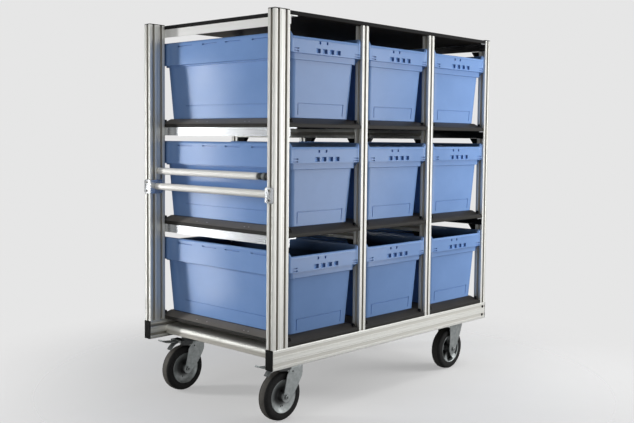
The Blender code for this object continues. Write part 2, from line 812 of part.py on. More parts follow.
def build_casters(steel, rubber):
    hinge = [(PEDAL_HUB_RADIUS, GAP - WHEEL_GAP), (PEDAL_HUB_RADIUS, WHEEL_GAP - GAP)]
    lie = Matrix(((1, 0, 0, 0), (0, 0, 1, 0), (0, 1, 0, 0), (0, 0, 0, 1)))
    shared = {
        "wheel": wheel_meshes(),
        "axle": axle_mesh(),
        "pedal": prism_mesh("pedal", pedal_outline(), PEDAL_WIDTH, lie, start=-PEDAL_WIDTH / 2),
        "hinge": stack_mesh("hinge", hinge, PEDAL_HUB_STEPS, ALONG_Y),
    }
    left = LEFT + CASTER_LEFT_INSET
    right = RIGHT - CASTER_RIGHT_INSET
    for side, y in (("front", CASTER_FRONT), ("rear", CASTER_REAR)):
        build_swivel_caster(f"{side}_left", left, y, shared, steel, rubber)
        build_fixed_caster(f"{side}_right", right, y, shared, steel, rubber)


def tube_profile(start, end, collar_radius, collar_length):
    """Half a tube's section as (radius, w) points, with a collar at each end."""
    inner = BAR_RADIUS - BAR_WALL
    return [
        (inner, start),
        (collar_radius, start),
        (collar_radius, start + collar_length),
        (BAR_RADIUS, start + collar_length),
        (BAR_RADIUS, end - collar_length),
        (collar_radius, end - collar_length),
        (collar_radius, end),
        (inner, end),
    ]


def build_push_bars(aluminium, bright):
    half_upper = INNER_LENGTH / 2
    half_lower = half_upper - BRACKET_THICKNESS - GAP
    upper = turned_mesh(
        "upper_bar",
        tube_profile(-half_upper, half_upper, UPPER_BAR_COLLAR_RADIUS, UPPER_BAR_COLLAR_LENGTH),
        BAR_STEPS,
        ALONG_Y,
    )
    lower_profile = [
        (BAR_RADIUS - BAR_WALL, -half_lower),
        (BAR_RADIUS, -half_lower),
        (BAR_RADIUS, half_lower),
        (BAR_RADIUS - BAR_WALL, half_lower),
    ]
    lower = turned_mesh("lower_bar", lower_profile, BAR_STEPS, ALONG_Y)
    upper_z = BEAM_TOP + UPPER_BAR_ABOVE_BEAM
    lower_z = BEAM_TOP + LOWER_BAR_ABOVE_BEAM
    add_object("push_bar_upper", upper, aluminium, (LEFT + UPPER_BAR_IN, 0, upper_z))
    add_object("push_bar_lower", lower, aluminium, (LEFT + LOWER_BAR_IN, 0, lower_z))

    # Each bracket is a plate on the post's left face, bent round onto its inner face
    outside = LEFT - GAP - BRACKET_THICKNESS
    inner_face = INNER_FRONT
    outline = [
        (outside, FRONT + BRACKET_FRONT_MARGIN),
        (LEFT - GAP, FRONT + BRACKET_FRONT_MARGIN),
        (LEFT - GAP, inner_face),
        (LEFT + BRACKET_INNER_LEG, inner_face),
        (LEFT + BRACKET_INNER_LEG, inner_face + BRACKET_THICKNESS),
        (outside, inner_face + BRACKET_THICKNESS),
    ]
    bottom = lower_z - BRACKET_DROP - BRACKET_HEIGHT / 2
    mirrored = [(x, -y) for x, y in reversed(outline)]
    for side, shape in (("front", outline), ("rear", mirrored)):
        name = f"bar_bracket_{side}"
        add_object(name, prism_mesh(name, shape, BRACKET_HEIGHT), bright, (0, 0, bottom))


def main():
    clear_scene()
    aluminium = make_material("anodised_profile", (0.68, 0.67, 0.64), 0.38, 0.85)
    bright = make_material("bright_aluminium", (0.80, 0.81, 0.82), 0.30, 0.90)
    black = make_material("black_panel", (0.018, 0.018, 0.017), 0.45)
    dark_steel = make_material("dark_powder_coat", (0.055, 0.050, 0.046), 0.42, 0.30)
    blue = make_material("crate_blue", (0.17, 0.30, 0.58), 0.42)
    zinc = make_material("zinc_plate", (0.36, 0.40, 0.40), 0.42, 0.85)
    rubber = make_material("black_rubber", (0.020, 0.019, 0.018), 0.75)
    build_posts(aluminium)
    build_base(aluminium)
    build_shelf_carriers(aluminium, bright)
    build_panel(black)
    build_decks(dark_steel)
    build_crates(blue)
    build_casters(zinc, rubber)
    build_push_bars(aluminium, bright)


main()
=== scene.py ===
# %% [markdown]
# # A roll container and how its looks are made
# The solids of this trolley come from a CAD pack, in metres, standing on the floor at z = 0.
# The long side runs along X, the crates slide out towards -Y and the push bars are at the -X end.
# This lesson keeps the plain solids that are already right, gives every one a finish, and
# replaces the crates, wheels, forks, decks and bars with fuller surfaces worked out in numpy.

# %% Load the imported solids
import math

import bpy
import numpy as np
from mathutils import Matrix, Vector


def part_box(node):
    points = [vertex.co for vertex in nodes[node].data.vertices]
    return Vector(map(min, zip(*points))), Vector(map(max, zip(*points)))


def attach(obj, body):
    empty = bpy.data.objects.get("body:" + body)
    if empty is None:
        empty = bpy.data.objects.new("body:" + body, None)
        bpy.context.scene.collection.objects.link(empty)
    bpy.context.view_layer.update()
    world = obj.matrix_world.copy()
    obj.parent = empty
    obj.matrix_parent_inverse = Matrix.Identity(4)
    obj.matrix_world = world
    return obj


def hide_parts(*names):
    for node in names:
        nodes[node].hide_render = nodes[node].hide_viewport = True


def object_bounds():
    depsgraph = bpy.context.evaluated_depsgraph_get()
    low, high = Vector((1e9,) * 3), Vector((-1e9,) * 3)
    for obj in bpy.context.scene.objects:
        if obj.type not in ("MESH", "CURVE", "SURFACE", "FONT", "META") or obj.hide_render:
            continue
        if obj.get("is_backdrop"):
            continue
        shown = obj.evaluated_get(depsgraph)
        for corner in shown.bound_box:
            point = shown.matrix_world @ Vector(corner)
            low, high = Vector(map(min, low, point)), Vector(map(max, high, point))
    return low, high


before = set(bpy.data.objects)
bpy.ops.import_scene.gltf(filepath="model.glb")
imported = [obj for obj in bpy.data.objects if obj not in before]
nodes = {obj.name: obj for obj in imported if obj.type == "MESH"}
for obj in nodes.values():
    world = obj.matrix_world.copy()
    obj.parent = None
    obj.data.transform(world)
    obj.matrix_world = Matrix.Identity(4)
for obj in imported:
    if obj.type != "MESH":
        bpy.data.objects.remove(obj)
cad_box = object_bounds()

# %% [markdown]
# ## The camera
# The photograph was taken from the front left, a little above the middle shelf. The camera's
# place, its direction and its small roll were solved from the corners of the frame, so they are
# written down here as plain numbers and turned into a matrix.

# %% Camera
EYE = Vector((-3.07295, -2.83570, 1.13570))
LOOK = Vector((0.73118, 0.67928, -0.06286)).normalized()
ROLL = math.radians(0.56)
LENS_PIXELS = 891.3
PHOTO = (634, 423)
PHOTO_CENTRE = (323.3, 193.7)

level = LOOK.cross(Vector((0, 0, 1))).normalized()
upright = level.cross(LOOK)
across = level * math.cos(ROLL) + upright * math.sin(ROLL)
above = upright * math.cos(ROLL) - level * math.sin(ROLL)
lens = bpy.data.cameras.new("photo_camera")
camera = bpy.data.objects.new("photo_camera", lens)
bpy.context.scene.collection.objects.link(camera)
camera.matrix_world = Matrix(
    [(across[i], above[i], -LOOK[i], EYE[i]) for i in range(3)] + [(0, 0, 0, 1)]
)
lens.sensor_width = 36
lens.lens = LENS_PIXELS / PHOTO[0] * lens.sensor_width
lens.shift_x = -(PHOTO_CENTRE[0] - PHOTO[0] / 2) / PHOTO[0]
lens.shift_y = (PHOTO_CENTRE[1] - PHOTO[1] / 2) / PHOTO[0]
bpy.context.scene.camera = camera
bpy.context.scene.view_settings.view_transform = "Standard"
print("lens:", round(lens.lens, 2), "mm")

# %% [markdown]
# ## Nodes in a few words
# A material is a small graph. Most finishes here need the same three things: a noise that reads
# the object's own coordinates, a ramp that turns it into colours, and a bump. A few helpers keep
# each recipe short. Values that are the same everywhere stay on the shader's own sockets.

# %% Nodes and links
def add(tree, kind, output, inputs=None, **options):
    """Adds a node with its options, sets or links each input, and gives back one of its outputs."""
    node = tree.nodes.new(kind)
    for option, choice in options.items():
        setattr(node, option, choice)
    for socket, value in (inputs or {}).items():
        if isinstance(value, bpy.types.NodeSocket):
            tree.links.new(value, node.inputs[socket])
        else:
            node.inputs[socket].default_value = value
    return node.outputs[output]


def new_finish(name, colour, roughness, metallic=0.0, specular=0.5):
    """A Principled material with its plain values set on the shader's own sockets."""
    material = bpy.data.materials.new(name)
    material.use_nodes = True
    shader = material.node_tree.nodes["Principled BSDF"]
    shader.inputs["Base Color"].default_value = (*colour, 1.0)
    shader.inputs["Roughness"].default_value = roughness
    shader.inputs["Metallic"].default_value = metallic
    shader.inputs["Specular IOR Level"].default_value = specular
    return material, material.node_tree, shader


def paint(tree, shader, colour, roughness=None):
    """Links the colour to the shader, and the roughness if there is one."""
    tree.links.new(colour, shader.inputs["Base Color"])
    if roughness is not None:
        tree.links.new(roughness, shader.inputs["Roughness"])


print("helpers for nodes:", add.__name__, new_finish.__name__, paint.__name__)


# %% Patterns
def grey(value):
    """A grey of that level as a colour."""
    return (value, value, value)


def noise(tree, stretch, detail=3.0, roughness=0.55):
    """Noise on the object's own coordinates, scaled by a different number along each axis."""
    where = add(tree, "ShaderNodeTexCoord", "Object")
    moved = add(tree, "ShaderNodeMapping", "Vector", {"Vector": where, "Scale": stretch})
    grain = {"Vector": moved, "Scale": 1.0, "Detail": detail, "Roughness": roughness}
    return add(tree, "ShaderNodeTexNoise", "Fac", grain)


def ramp(tree, value, *stops):
    """Turns a 0 to 1 value into colours: each stop is (where, colour), or (where, grey level)."""
    node = tree.nodes.new("ShaderNodeValToRGB")
    for element, (where, colour) in zip(node.color_ramp.elements, stops):
        element.position = where
        element.color = (*(colour if isinstance(colour, tuple) else grey(colour)), 1.0)
    tree.links.new(value, node.inputs["Fac"])
    return node.outputs["Color"]


print("helpers for patterns:", noise.__name__, ramp.__name__)


# %% Mixing, facing and relief
def blend(tree, factor, first, second):
    """first where the factor is 0 and second where it is 1; each is a colour or a socket."""
    first, second = ((*end, 1.0) if isinstance(end, tuple) else end for end in (first, second))
    ends = {"Factor": factor, "A": first, "B": second}
    return add(tree, "ShaderNodeMix", "Result", ends, data_type="RGBA")


def multiply(tree, first, second):
    """The product of two values."""
    return add(tree, "ShaderNodeMath", "Value", {0: first, 1: second}, operation="MULTIPLY")


def map_range(tree, value, low, high, at_low=0.0, at_high=1.0, curve="LINEAR"):
    """at_low where the value is low or past it, and at_high where it is high or past it."""
    ends = {"From Min": low, "From Max": high, "To Min": at_low, "To Max": at_high}
    ends["Value"] = value
    return add(tree, "ShaderNodeMapRange", "Result", ends, interpolation_type=curve)


def facing(tree, axis, low, high):
    """How far the surface faces along an axis: from 0 where that is low to 1 where it is high."""
    normal = add(tree, "ShaderNodeNewGeometry", "Normal")
    return map_range(tree, add(tree, "ShaderNodeSeparateXYZ", axis, {"Vector": normal}), low, high)


def shade_of(tree):
    """A number from 0 to 1 that a mesh may carry at each point: painted shade, or dust on tyres."""
    return add(tree, "ShaderNodeAttribute", "Fac", attribute_name="shade")


def bump(tree, shader, height, strength, distance):
    """Roughens the surface by a height value, distance metres high at most."""
    relief = {"Strength": strength, "Distance": distance, "Height": height}
    tree.links.new(add(tree, "ShaderNodeBump", "Normal", relief), shader.inputs["Normal"])


print("helpers for mixing:", blend.__name__, multiply.__name__, map_range.__name__)

# %% [markdown]
# ## Aluminium, drawn through a die
# Extruded profile carries faint straight lines along its length and is etched and anodised to a
# satin. The lines are noise stretched several hundredfold along one axis, so there is one finish
# for each direction in which a profile lies. Its T slots and grooves get painted shade: the colour
# sinks where the mesh says that it is hollow. The bright angles are smoother and mirror more. The
# one at the top left is a paler copy, painted light; the right-hand ones get painted shade on their
# inner side, which lies under the shelves. The push bars' tubes are a pale satin.

# %% Aluminium finishes
# colour of the painted shade in T slots, grooves and cover strips
SLOT_PAINTED_SHADE = (0.56, 0.54, 0.49)
INNER_PAINTED_SHADE = (0.05, 0.05, 0.05)


def aluminium(name, stretch, dull, pale, rough, smooth, metallic=0.85, painted_shade_inside=False):
    """Drawn lines change the colour from dull to pale and the roughness from rough to smooth."""
    material, tree, shader = new_finish(name, pale, smooth, metallic)
    lines = noise(tree, stretch, detail=4.0, roughness=0.6)
    hollow = shade_of(tree)
    # painted shade: the colour sinks towards the slot colour where the mesh's shade is high
    colour = blend(tree, hollow, ramp(tree, lines, (0.30, dull), (0.70, pale)), SLOT_PAINTED_SHADE)
    # painted shade on the faces that look towards -X
    if painted_shade_inside:
        colour = blend(tree, facing(tree, "X", 0.3, -0.3), colour, INNER_PAINTED_SHADE)
    satin = ramp(tree, lines, (0.2, rough), (0.8, smooth))
    paint(tree, shader, colour, blend(tree, hollow, satin, grey(0.7)))
    bump(tree, shader, lines, 0.25, 0.0002)
    return material


ANODISED = (0.760, 0.760, 0.722), (0.860, 0.862, 0.825), 0.50, 0.40
BRIGHT = (0.52, 0.54, 0.56), (0.62, 0.64, 0.66), 0.30, 0.22
SATIN = (0.88, 0.87, 0.83), (0.93, 0.92, 0.88), 0.55, 0.45, 0.35
PAINTED_LIGHT_ALUMINIUM = (0.86, 0.86, 0.84), (0.92, 0.92, 0.90), 0.42, 0.32, 0.45
ALONG_Y = (900, 2.0, 900)
profile_upright = aluminium("profile_upright", (700, 700, 1.2), *ANODISED)
profile_long = aluminium("profile_long", (1.2, 700, 700), *ANODISED)
profile_cross = aluminium("profile_cross", (700, 1.2, 700), *ANODISED)
bright_cross = aluminium("bright_angle", ALONG_Y, *BRIGHT)
bright_plate = aluminium("bright_bracket", (60, 900, 900), *BRIGHT)
satin_tube = aluminium("satin_tube", ALONG_Y, *SATIN)
# painted light: a paler copy of the aluminium for the top left angle
painted_light_cross = aluminium("angle_painted_light", ALONG_Y, *PAINTED_LIGHT_ALUMINIUM)
painted_shade_cross = aluminium("angle_painted_shade", ALONG_Y, *BRIGHT, painted_shade_inside=True)
print("aluminium roughness: anodised", ANODISED[2:], " bright", BRIGHT[2:])

# %% [markdown]
# ## Board, powder coat, plastic, zinc and rubber
# The top is a board with black edges and a smooth dark film underneath. The decks are sheet with
# a satin powder coat, with a paler painted sheen on the slopes that face the push bars. The crates
# are moulded polypropylene: a mid blue with slow, faint changes of tone and some light rub marks,
# and painted shade inside. The casters are zinc plated, with a mottled, slightly cold grey and
# painted shade on their plates, forks, rims, bolts and pedals; their tyres gather dust on the
# tread.

# %% Board and powder coat
film_board, tree, shader = new_finish("film_board", (0.02, 0.016, 0.012), 0.30, specular=0.12)
not_below = facing(tree, "Z", -0.9, -0.4)
film = noise(tree, (14, 60, 60), detail=5.0)
film = ramp(tree, film, (0.3, (0.012, 0.010, 0.008)), (0.75, (0.026, 0.022, 0.018)))
edge = ramp(tree, noise(tree, (90, 90, 400)), (0.3, 0.008), (0.7, 0.016))
gloss = blend(tree, not_below, grey(0.50), grey(0.55))
paint(tree, shader, blend(tree, not_below, film, edge), gloss)
bump(tree, shader, noise(tree, (500, 500, 500)), 0.15, 0.0002)

deck_coat, tree, shader = new_finish("deck_coat", (0.015, 0.013, 0.011), 0.34, specular=0.38)
tone = noise(tree, (9, 9, 30), detail=5.0)
scuffs = noise(tree, (30, 30, 300), detail=6.0, roughness=0.7)
scuffs = ramp(tree, scuffs, (0.60, 0.0), (0.78, 0.35))
coat = ramp(tree, tone, (0.3, (0.008, 0.007, 0.006)), (0.75, (0.020, 0.017, 0.015)))
# painted sheen: slopes that face -X turn a paler brown
painted_sheen_mask = multiply(tree, facing(tree, "X", -0.25, -0.50), ramp(tree, tone, (0.2, 0.65), (0.8, 1.0)))
sheened_coat = blend(tree, painted_sheen_mask, coat, (0.175, 0.160, 0.140))
satin = ramp(tree, tone, (0.2, 0.26), (0.8, 0.38))
paint(tree, shader, blend(tree, scuffs, sheened_coat, (0.070, 0.062, 0.052)), satin)
bump(tree, shader, noise(tree, (900, 900, 900), detail=1.5), 0.25, 0.0003)

deck_edge, tree, shader = new_finish("deck_edge", (0.015, 0.014, 0.012), 0.50, specular=0.30)
tone = noise(tree, (12, 12, 200), detail=5.0)
paint(tree, shader, ramp(tree, tone, (0.3, (0.008, 0.0075, 0.006)), (0.75, (0.018, 0.016, 0.013))))
bump(tree, shader, noise(tree, (700, 700, 700)), 0.2, 0.0002)
print("board and powder coats ready")

# %% Plastics
crate_plastic, tree, shader = new_finish("crate_plastic", (0.16, 0.295, 0.59), 0.20, specular=0.45)
tone = noise(tree, (5, 5, 7), detail=4.0)
base = ramp(tree, tone, (0.3, (0.150, 0.280, 0.565)), (0.7, (0.172, 0.312, 0.615)))
rubs = noise(tree, (60, 60, 240), detail=6.0, roughness=0.7)
outside = blend(tree, ramp(tree, rubs, (0.64, 0.0), (0.80, 0.20)), base, (0.36, 0.50, 0.74))
gloss = ramp(tree, tone, (0.25, 0.16), (0.75, 0.24))
# painted shade: the crate's inner rows darken to a near-black blue
paint(tree, shader, blend(tree, shade_of(tree), outside, (0.012, 0.018, 0.032)), gloss)
bump(tree, shader, noise(tree, (420, 420, 420), detail=2.0), 0.12, 0.0002)

black_plastic, tree, shader = new_finish("black_plastic", grey(0.008), 0.55, specular=0.10)
paint(tree, shader, ramp(tree, noise(tree, (80, 80, 80)), (0.3, 0.005), (0.7, 0.012)))
bump(tree, shader, noise(tree, (900, 900, 900)), 0.2, 0.0002)
print("plastics:", crate_plastic.name, black_plastic.name)

# %% Zinc, steel and rubber
zinc, tree, shader = new_finish("zinc_plate", (0.50, 0.53, 0.53), 0.40, metallic=0.75)
tone = noise(tree, (55, 55, 55), detail=6.0, roughness=0.65)
mottled = ramp(tree, tone, (0.30, (0.33, 0.36, 0.36)), (0.72, (0.54, 0.57, 0.57)))
satin = ramp(tree, tone, (0.25, 0.52), (0.75, 0.34))
# painted shade: the zinc sinks to near black where the mesh's shade is high
paint(tree, shader, blend(tree, shade_of(tree), mottled, grey(0.03)), satin)
bump(tree, shader, noise(tree, (260, 260, 260), detail=4.0), 0.18, 0.0003)

steel, tree, shader = new_finish("screw_steel", (0.62, 0.61, 0.59), 0.28, metallic=1.0)
ground = noise(tree, (600, 600, 600))
ground = ramp(tree, ground, (0.3, (0.50, 0.49, 0.47)), (0.7, (0.72, 0.71, 0.69)))
paint(tree, shader, blend(tree, shade_of(tree), ground, grey(0.01)))

rubber, tree, shader = new_finish("tyre_rubber", (0.014, 0.013, 0.012), 0.66, specular=0.25)
patchy = noise(tree, (45, 45, 45), detail=6.0, roughness=0.7)
dusty = multiply(tree, shade_of(tree), ramp(tree, patchy, (0.25, 0.45), (0.70, 1.0)))
sidewall = ramp(tree, noise(tree, (120, 120, 120)), (0.3, 0.008), (0.7, 0.017))
paint(tree, shader, blend(tree, dusty, sidewall, (0.112, 0.106, 0.096)))
bump(tree, shader, noise(tree, (700, 700, 700), detail=3.0), 0.3, 0.0003)
print("materials:", len(bpy.data.materials))

# %% [markdown]
# ## Finishes for the solids that stay
# Each carried-over solid keeps its mesh and gets a finish through its own material slots. Which
# one depends on what it is and on the direction in which it lies, so its name is enough.

# %% Dress the CAD solids
FINISH_OF = {
    "corner_post": profile_upright,
    "divider_post": profile_upright,
    "base_beam": profile_long,
    "cross_rail": profile_cross,
    "shelf_bar": profile_cross,
    # painted light: the top left angle gets the paler copy
    "end_angle_left_top": painted_light_cross,
    # painted shade: the right-hand angles are darker on their inner side
    "end_angle_right": painted_shade_cross,
    "end_angle": bright_cross,
    "bar_bracket": bright_plate,
    "top_panel": film_board,
    "shelf_deck": deck_coat,
    "crate": crate_plastic,
    "push_bar": satin_tube,
    "wheel_tyre": rubber,
    "wheel": zinc,
    "caster": zinc,
    "brake": zinc,
}


def finish_of(name):
    """The finish of the first entry with which the name starts."""
    return next(finish for start, finish in FINISH_OF.items() if name.startswith(start))


for name, solid in nodes.items():
    for place in solid.material_slots:
        place.material = finish_of(name)
print("dressed solids:", len(nodes))

# %% [markdown]
# ## Surfaces from a grid
# Every new shape below is a grid of points, rows by columns, worked out as whole arrays. Joining
# neighbouring points gives the faces. Each row is a closed loop, and the rows may form a ring too.
# Where they don't, one flat face closes the first row and one the last. The signed volume of the
# finished solid tells whether its faces look outwards; if they don't, every face is turned over.

# %% Faces of a grid
def grid_faces(rows, columns, wrap_rows):
    """Faces between neighbours, counted row by row: (i, j), (i, j+1), (i+1, j+1), (i+1, j)."""
    i = np.arange(rows if wrap_rows else rows - 1)[:, None]
    j = np.arange(columns)[None, :]
    down, beside = (i + 1) % rows, (j + 1) % columns
    corners = (i * columns + j, i * columns + beside, down * columns + beside, down * columns + j)
    return np.stack(np.broadcast_arrays(*corners), -1).reshape(-1, 4)


def volume(points, groups):
    """Six times the signed volume: the sum of a . (b x c) over the fans of all faces."""
    total = 0.0
    for group in groups:
        a = points[group[:, 0]]
        for k in range(1, group.shape[1] - 1):
            total += np.sum(a * np.cross(points[group[:, k]], points[group[:, k + 1]]))
    return total


def closed_grid(points, wrap_rows=False, shade=0.0):
    """A solid part, from (rows, columns, 3) points: (flat points, groups of faces, shades)."""
    rows, columns = points.shape[:2]
    groups = [grid_faces(rows, columns, wrap_rows)]
    if not wrap_rows:
        first = np.arange(columns)[None, :]
        groups += [first[:, ::-1], first + (rows - 1) * columns]
    flat = points.reshape(-1, 3)
    if volume(flat - flat.mean(0), groups) < 0:
        groups = [group[:, ::-1] for group in groups]
    shades = np.broadcast_to(np.asarray(shade, float), (rows, columns)).reshape(-1)
    return flat, groups, shades


print("faces of a closed tube of 3 x 4 points:", len(grid_faces(3, 4, False)) + 2)


# %% Parts to pieces
def moved(part, offset):
    """The same part with every point shifted by the offset."""
    return part[0] + np.array(offset, float), part[1], part[2]


def make_piece(name, parts, material, body="frame", sharp=35.0, replaces=None):
    """Joins the parts into one mesh object that rides on a body and may stand for a CAD node."""
    starts = np.cumsum([0] + [len(part[0]) for part in parts])
    faces = []
    for part, start in zip(parts, starts):
        for group in part[1]:
            faces += (group + start).tolist()
    mesh = bpy.data.meshes.new(name)
    mesh.from_pydata(np.concatenate([part[0] for part in parts]).tolist(), [], faces)
    shades = np.concatenate([part[2] for part in parts])
    if shades.any():
        shade = mesh.attributes.new("shade", "FLOAT", "POINT")
        shade.data.foreach_set("value", shades.astype(np.float32))
    mesh.shade_smooth()
    mesh.set_sharp_from_angle(angle=math.radians(sharp))
    mesh.materials.append(material)
    piece = bpy.data.objects.new(name, mesh)
    bpy.context.scene.collection.objects.link(piece)
    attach(piece, body)
    if replaces:
        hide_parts(replaces)


# %% [markdown]
# ## Turned pieces, pushed outlines and rounded boxes
# Three shapes come back everywhere. A turned piece carries a profile of (radius, along) points
# round an axis. A pushed piece moves a flat outline along an axis. A rounded box is a stack of
# rounded rectangles whose inset grows near its two ends, so that its edges are round.

# %% Turned and pushed shapes
AXES = {"x": [1, 2, 0], "y": [2, 0, 1], "z": [0, 1, 2]}


def mm(table):
    """A table of millimetres in metres."""
    return np.array(table) / 1000


def lay(local, axis):
    """Turns (u, v, w) points so that w runs along the axis and u and v are the two others."""
    points = np.empty_like(local)
    points[..., AXES[axis]] = local
    return points


def lifted(outline, height):
    """A flat (u, v) outline as (u, v, w) points that all lie at w = height."""
    return np.column_stack([outline, np.full(len(outline), height)])


def turned(profile, centre, axis="y", steps=48, closed=False, shade=0.0):
    """Point (k, t) = centre + radius_k * (cos t, sin t) across the axis + along_k on the axis."""
    radius, along = np.array(profile, float).T[:, :, None]
    turn = np.linspace(0, 2 * np.pi, steps, endpoint=False)
    local = np.stack([radius * np.cos(turn), radius * np.sin(turn), along + 0 * turn], -1)
    shades = np.broadcast_to(np.asarray(shade, float).reshape(-1, 1), local.shape[:2])
    return closed_grid(lay(local, axis) + np.array(centre, float), closed, shades)


def pushed(outline, low, high, axis, shade=0.0):
    """The (u, v) outline at w = low and again at w = high."""
    ends = np.stack([lifted(outline, low), lifted(outline, high)])
    return closed_grid(lay(ends, axis), shade=shade)


print("points of a turned pin:", len(turned(mm([(1, 0), (1, 5)]), (0, 0, 0), steps=8)[0]))

# %% Rounded boxes
LEAST_CORNER = 0.0002


def rounded_rectangle(half_u, half_v, radius, steps=4):
    """A loop of points: four quarter circles of the radius, with straight sides between them."""
    turn = np.linspace(0, 2 * np.pi, 4 * steps, endpoint=False) + np.pi / (4 * steps)
    quadrant = np.sign(np.stack([np.cos(turn), np.sin(turn)], -1))
    bend = np.tile(np.linspace(0, 1, steps), 4) * np.pi / 2
    bend += np.repeat(np.arange(4), steps) * np.pi / 2
    arcs = radius * np.stack([np.cos(bend), np.sin(bend)], -1)
    return quadrant * [half_u - radius, half_v - radius] + arcs


def edge_rows(low, high, edge, steps=3):
    """(inset, along) of a solid whose two ends are rounded by quarter circles of radius edge."""
    turn = np.linspace(0, np.pi / 2, steps + 1)
    inset = edge * (1 - np.sin(turn))
    rise = edge * (1 - np.cos(turn))
    return np.concatenate([inset, inset[::-1]]), np.concatenate([low + rise, high - rise[::-1]])


def rounded_box(low, high, axis, corner, edge, shade=0.0):
    """A box whose section across the axis is a rounded rectangle, rounded at both its ends too."""
    low, high = (np.array(end, float)[AXES[axis]] for end in (low, high))
    half, middle = (high - low) / 2, (high + low) / 2
    loops = [
        lifted(rounded_rectangle(*(half[:2] - i), max(corner - i, LEAST_CORNER)), w)
        for i, w in zip(*edge_rows(-half[2], half[2], edge))
    ]
    return closed_grid(lay(np.stack(loops) + middle, axis), shade=shade)


print("points of a rounded box:", len(rounded_box((0, 0, 0), (1, 1, 1), "z", 0.1, 0.05)[0]))

# %% [markdown]
# ## Slotted profile
# The posts, beams, rails and shelf bars are one system of aluminium profile: squares of 40 mm with
# a T slot in each side. A Boolean could cut the slots. It is simpler to walk round the section
# once, as an outline of points with their depth below the face, and to push it along the bar.
# Beside each slot run two fine grooves, and cover strips close the slots on the beams' outside.

# %% The slot and its neighbours
MODULE, CORNER_R = 0.040, 0.0016
SLOT_HALF, SLOT_CHAMFER, SLOT_LIP = 0.0054, 0.0012, 0.0045
CAVITY_HALF, CAVITY_BEVEL, SLOT_DEPTH = 0.0085, 0.0025, 0.0125
half_slot = [
    (SLOT_HALF + SLOT_CHAMFER, 0.0),
    (SLOT_HALF + 0.3 * SLOT_CHAMFER, 0.3 * SLOT_CHAMFER),
    (SLOT_HALF, SLOT_CHAMFER),
    (SLOT_HALF, SLOT_LIP),
    (CAVITY_HALF, SLOT_LIP + 0.0004),
    (CAVITY_HALF, SLOT_DEPTH - CAVITY_BEVEL),
    (CAVITY_HALF - CAVITY_BEVEL, SLOT_DEPTH),
]
SLOT = np.array([(-u, d) for u, d in half_slot] + half_slot[::-1])
# each outline point carries painted shade: full inside a slot, partial in grooves and cover strips
SLOT_HOLLOW = SLOT[:, 1] >= SLOT_CHAMFER
FINE_LINE = 0.0130
GROOVE, GROOVE_HOLLOW = np.array([(-0.0009, 0.0), (0.0, 0.0012), (0.0009, 0.0)]), [0, 0.5, 0]
COVER = np.array([(-0.0072, 0.0), (-0.0058, 0.0013), (0.0058, 0.0013), (0.0072, 0.0)])
COVER_HOLLOW = [0.1, 0.55, 0.55, 0.1]
turn = np.linspace(0, np.pi / 2, 4)
ARC = CORNER_R * np.stack([1 - np.cos(turn), 1 - np.sin(turn)], -1)
print("points in a slot:", len(SLOT), " in a groove:", len(GROOVE))


# %% The profile's outline
def profile_outline(modules_u, modules_v, covered=None):
    """Round the section: arcs at the corners, in every module a slot between two fine grooves.

    On the covered side a shallow strip closes the slots."""
    size = np.array([modules_u, modules_v]) * MODULE
    corners = np.array([(0, 0), (size[0], 0), size, (0, size[1])])
    loop, hollow = [], []
    for side, modules in enumerate((modules_u, modules_v, modules_u, modules_v)):
        along = np.array([(1, 0), (0, 1), (-1, 0), (0, -1)][side])
        inward = np.array([-along[1], along[0]])
        runs = [(ARC, 0, np.zeros(len(ARC)))]
        slot, shade = (COVER, COVER_HOLLOW) if side == covered else (SLOT, SLOT_HOLLOW)
        for module in range(modules):
            middle = (module + 0.5) * MODULE
            runs.append((GROOVE, middle - FINE_LINE, GROOVE_HOLLOW))
            runs.append((slot, middle, shade))
            runs.append((GROOVE, middle + FINE_LINE, GROOVE_HOLLOW))
        for run, start, shade in runs:
            loop.append(corners[side] + (run[:, :1] + start) * along + run[:, 1:] * inward)
            hollow.append(np.asarray(shade, float))
    return np.concatenate(loop), np.concatenate(hollow)


outline, depth = profile_outline(2, 1)
print("points round the wide post:", len(outline), " hollow ones:", int(depth.sum()))

# %% The cross rail's outline
RAIL_MODULES, RAIL_R, RAIL_MIDDLE, RAIL_STEP = 4, 0.0235, 0.0170, 0.0190


def rail_outline():
    """A cross rail: a flat foot, a groove and a quarter round outside, slots elsewhere."""
    outline, hollow = profile_outline(1, RAIL_MODULES)
    replaced = 2 * len(ARC) + (1 + RAIL_MODULES) * (len(SLOT) + 2 * len(GROOVE))
    bend = np.radians(np.linspace(-8, 68, 12))
    foot = [(0.0, 0.0008), (0.0008, 0.0), (0.0126, 0.0), (0.0140, 0.0016)]
    quarter = [RAIL_MIDDLE + RAIL_R * np.sin(bend), RAIL_R * (1 - np.cos(bend))]
    top = [(MODULE, RAIL_STEP), (MODULE, 0.1500)]
    outside = np.concatenate([foot, np.column_stack(quarter), top])
    # painted shade: dark foot and groove, fading up the quarter round, and a dark top under the
    # deck
    painted_shade = [0.9, 0.9, 0.9, 1.0, *np.clip(0.9 - 0.9 * (bend + 0.14) / 0.60, 0, 1), 0.8, 0.8]
    return np.concatenate([outside, outline[replaced:]]), np.append(painted_shade, hollow[replaced:])


print("points round a cross rail:", len(rail_outline()[0]))

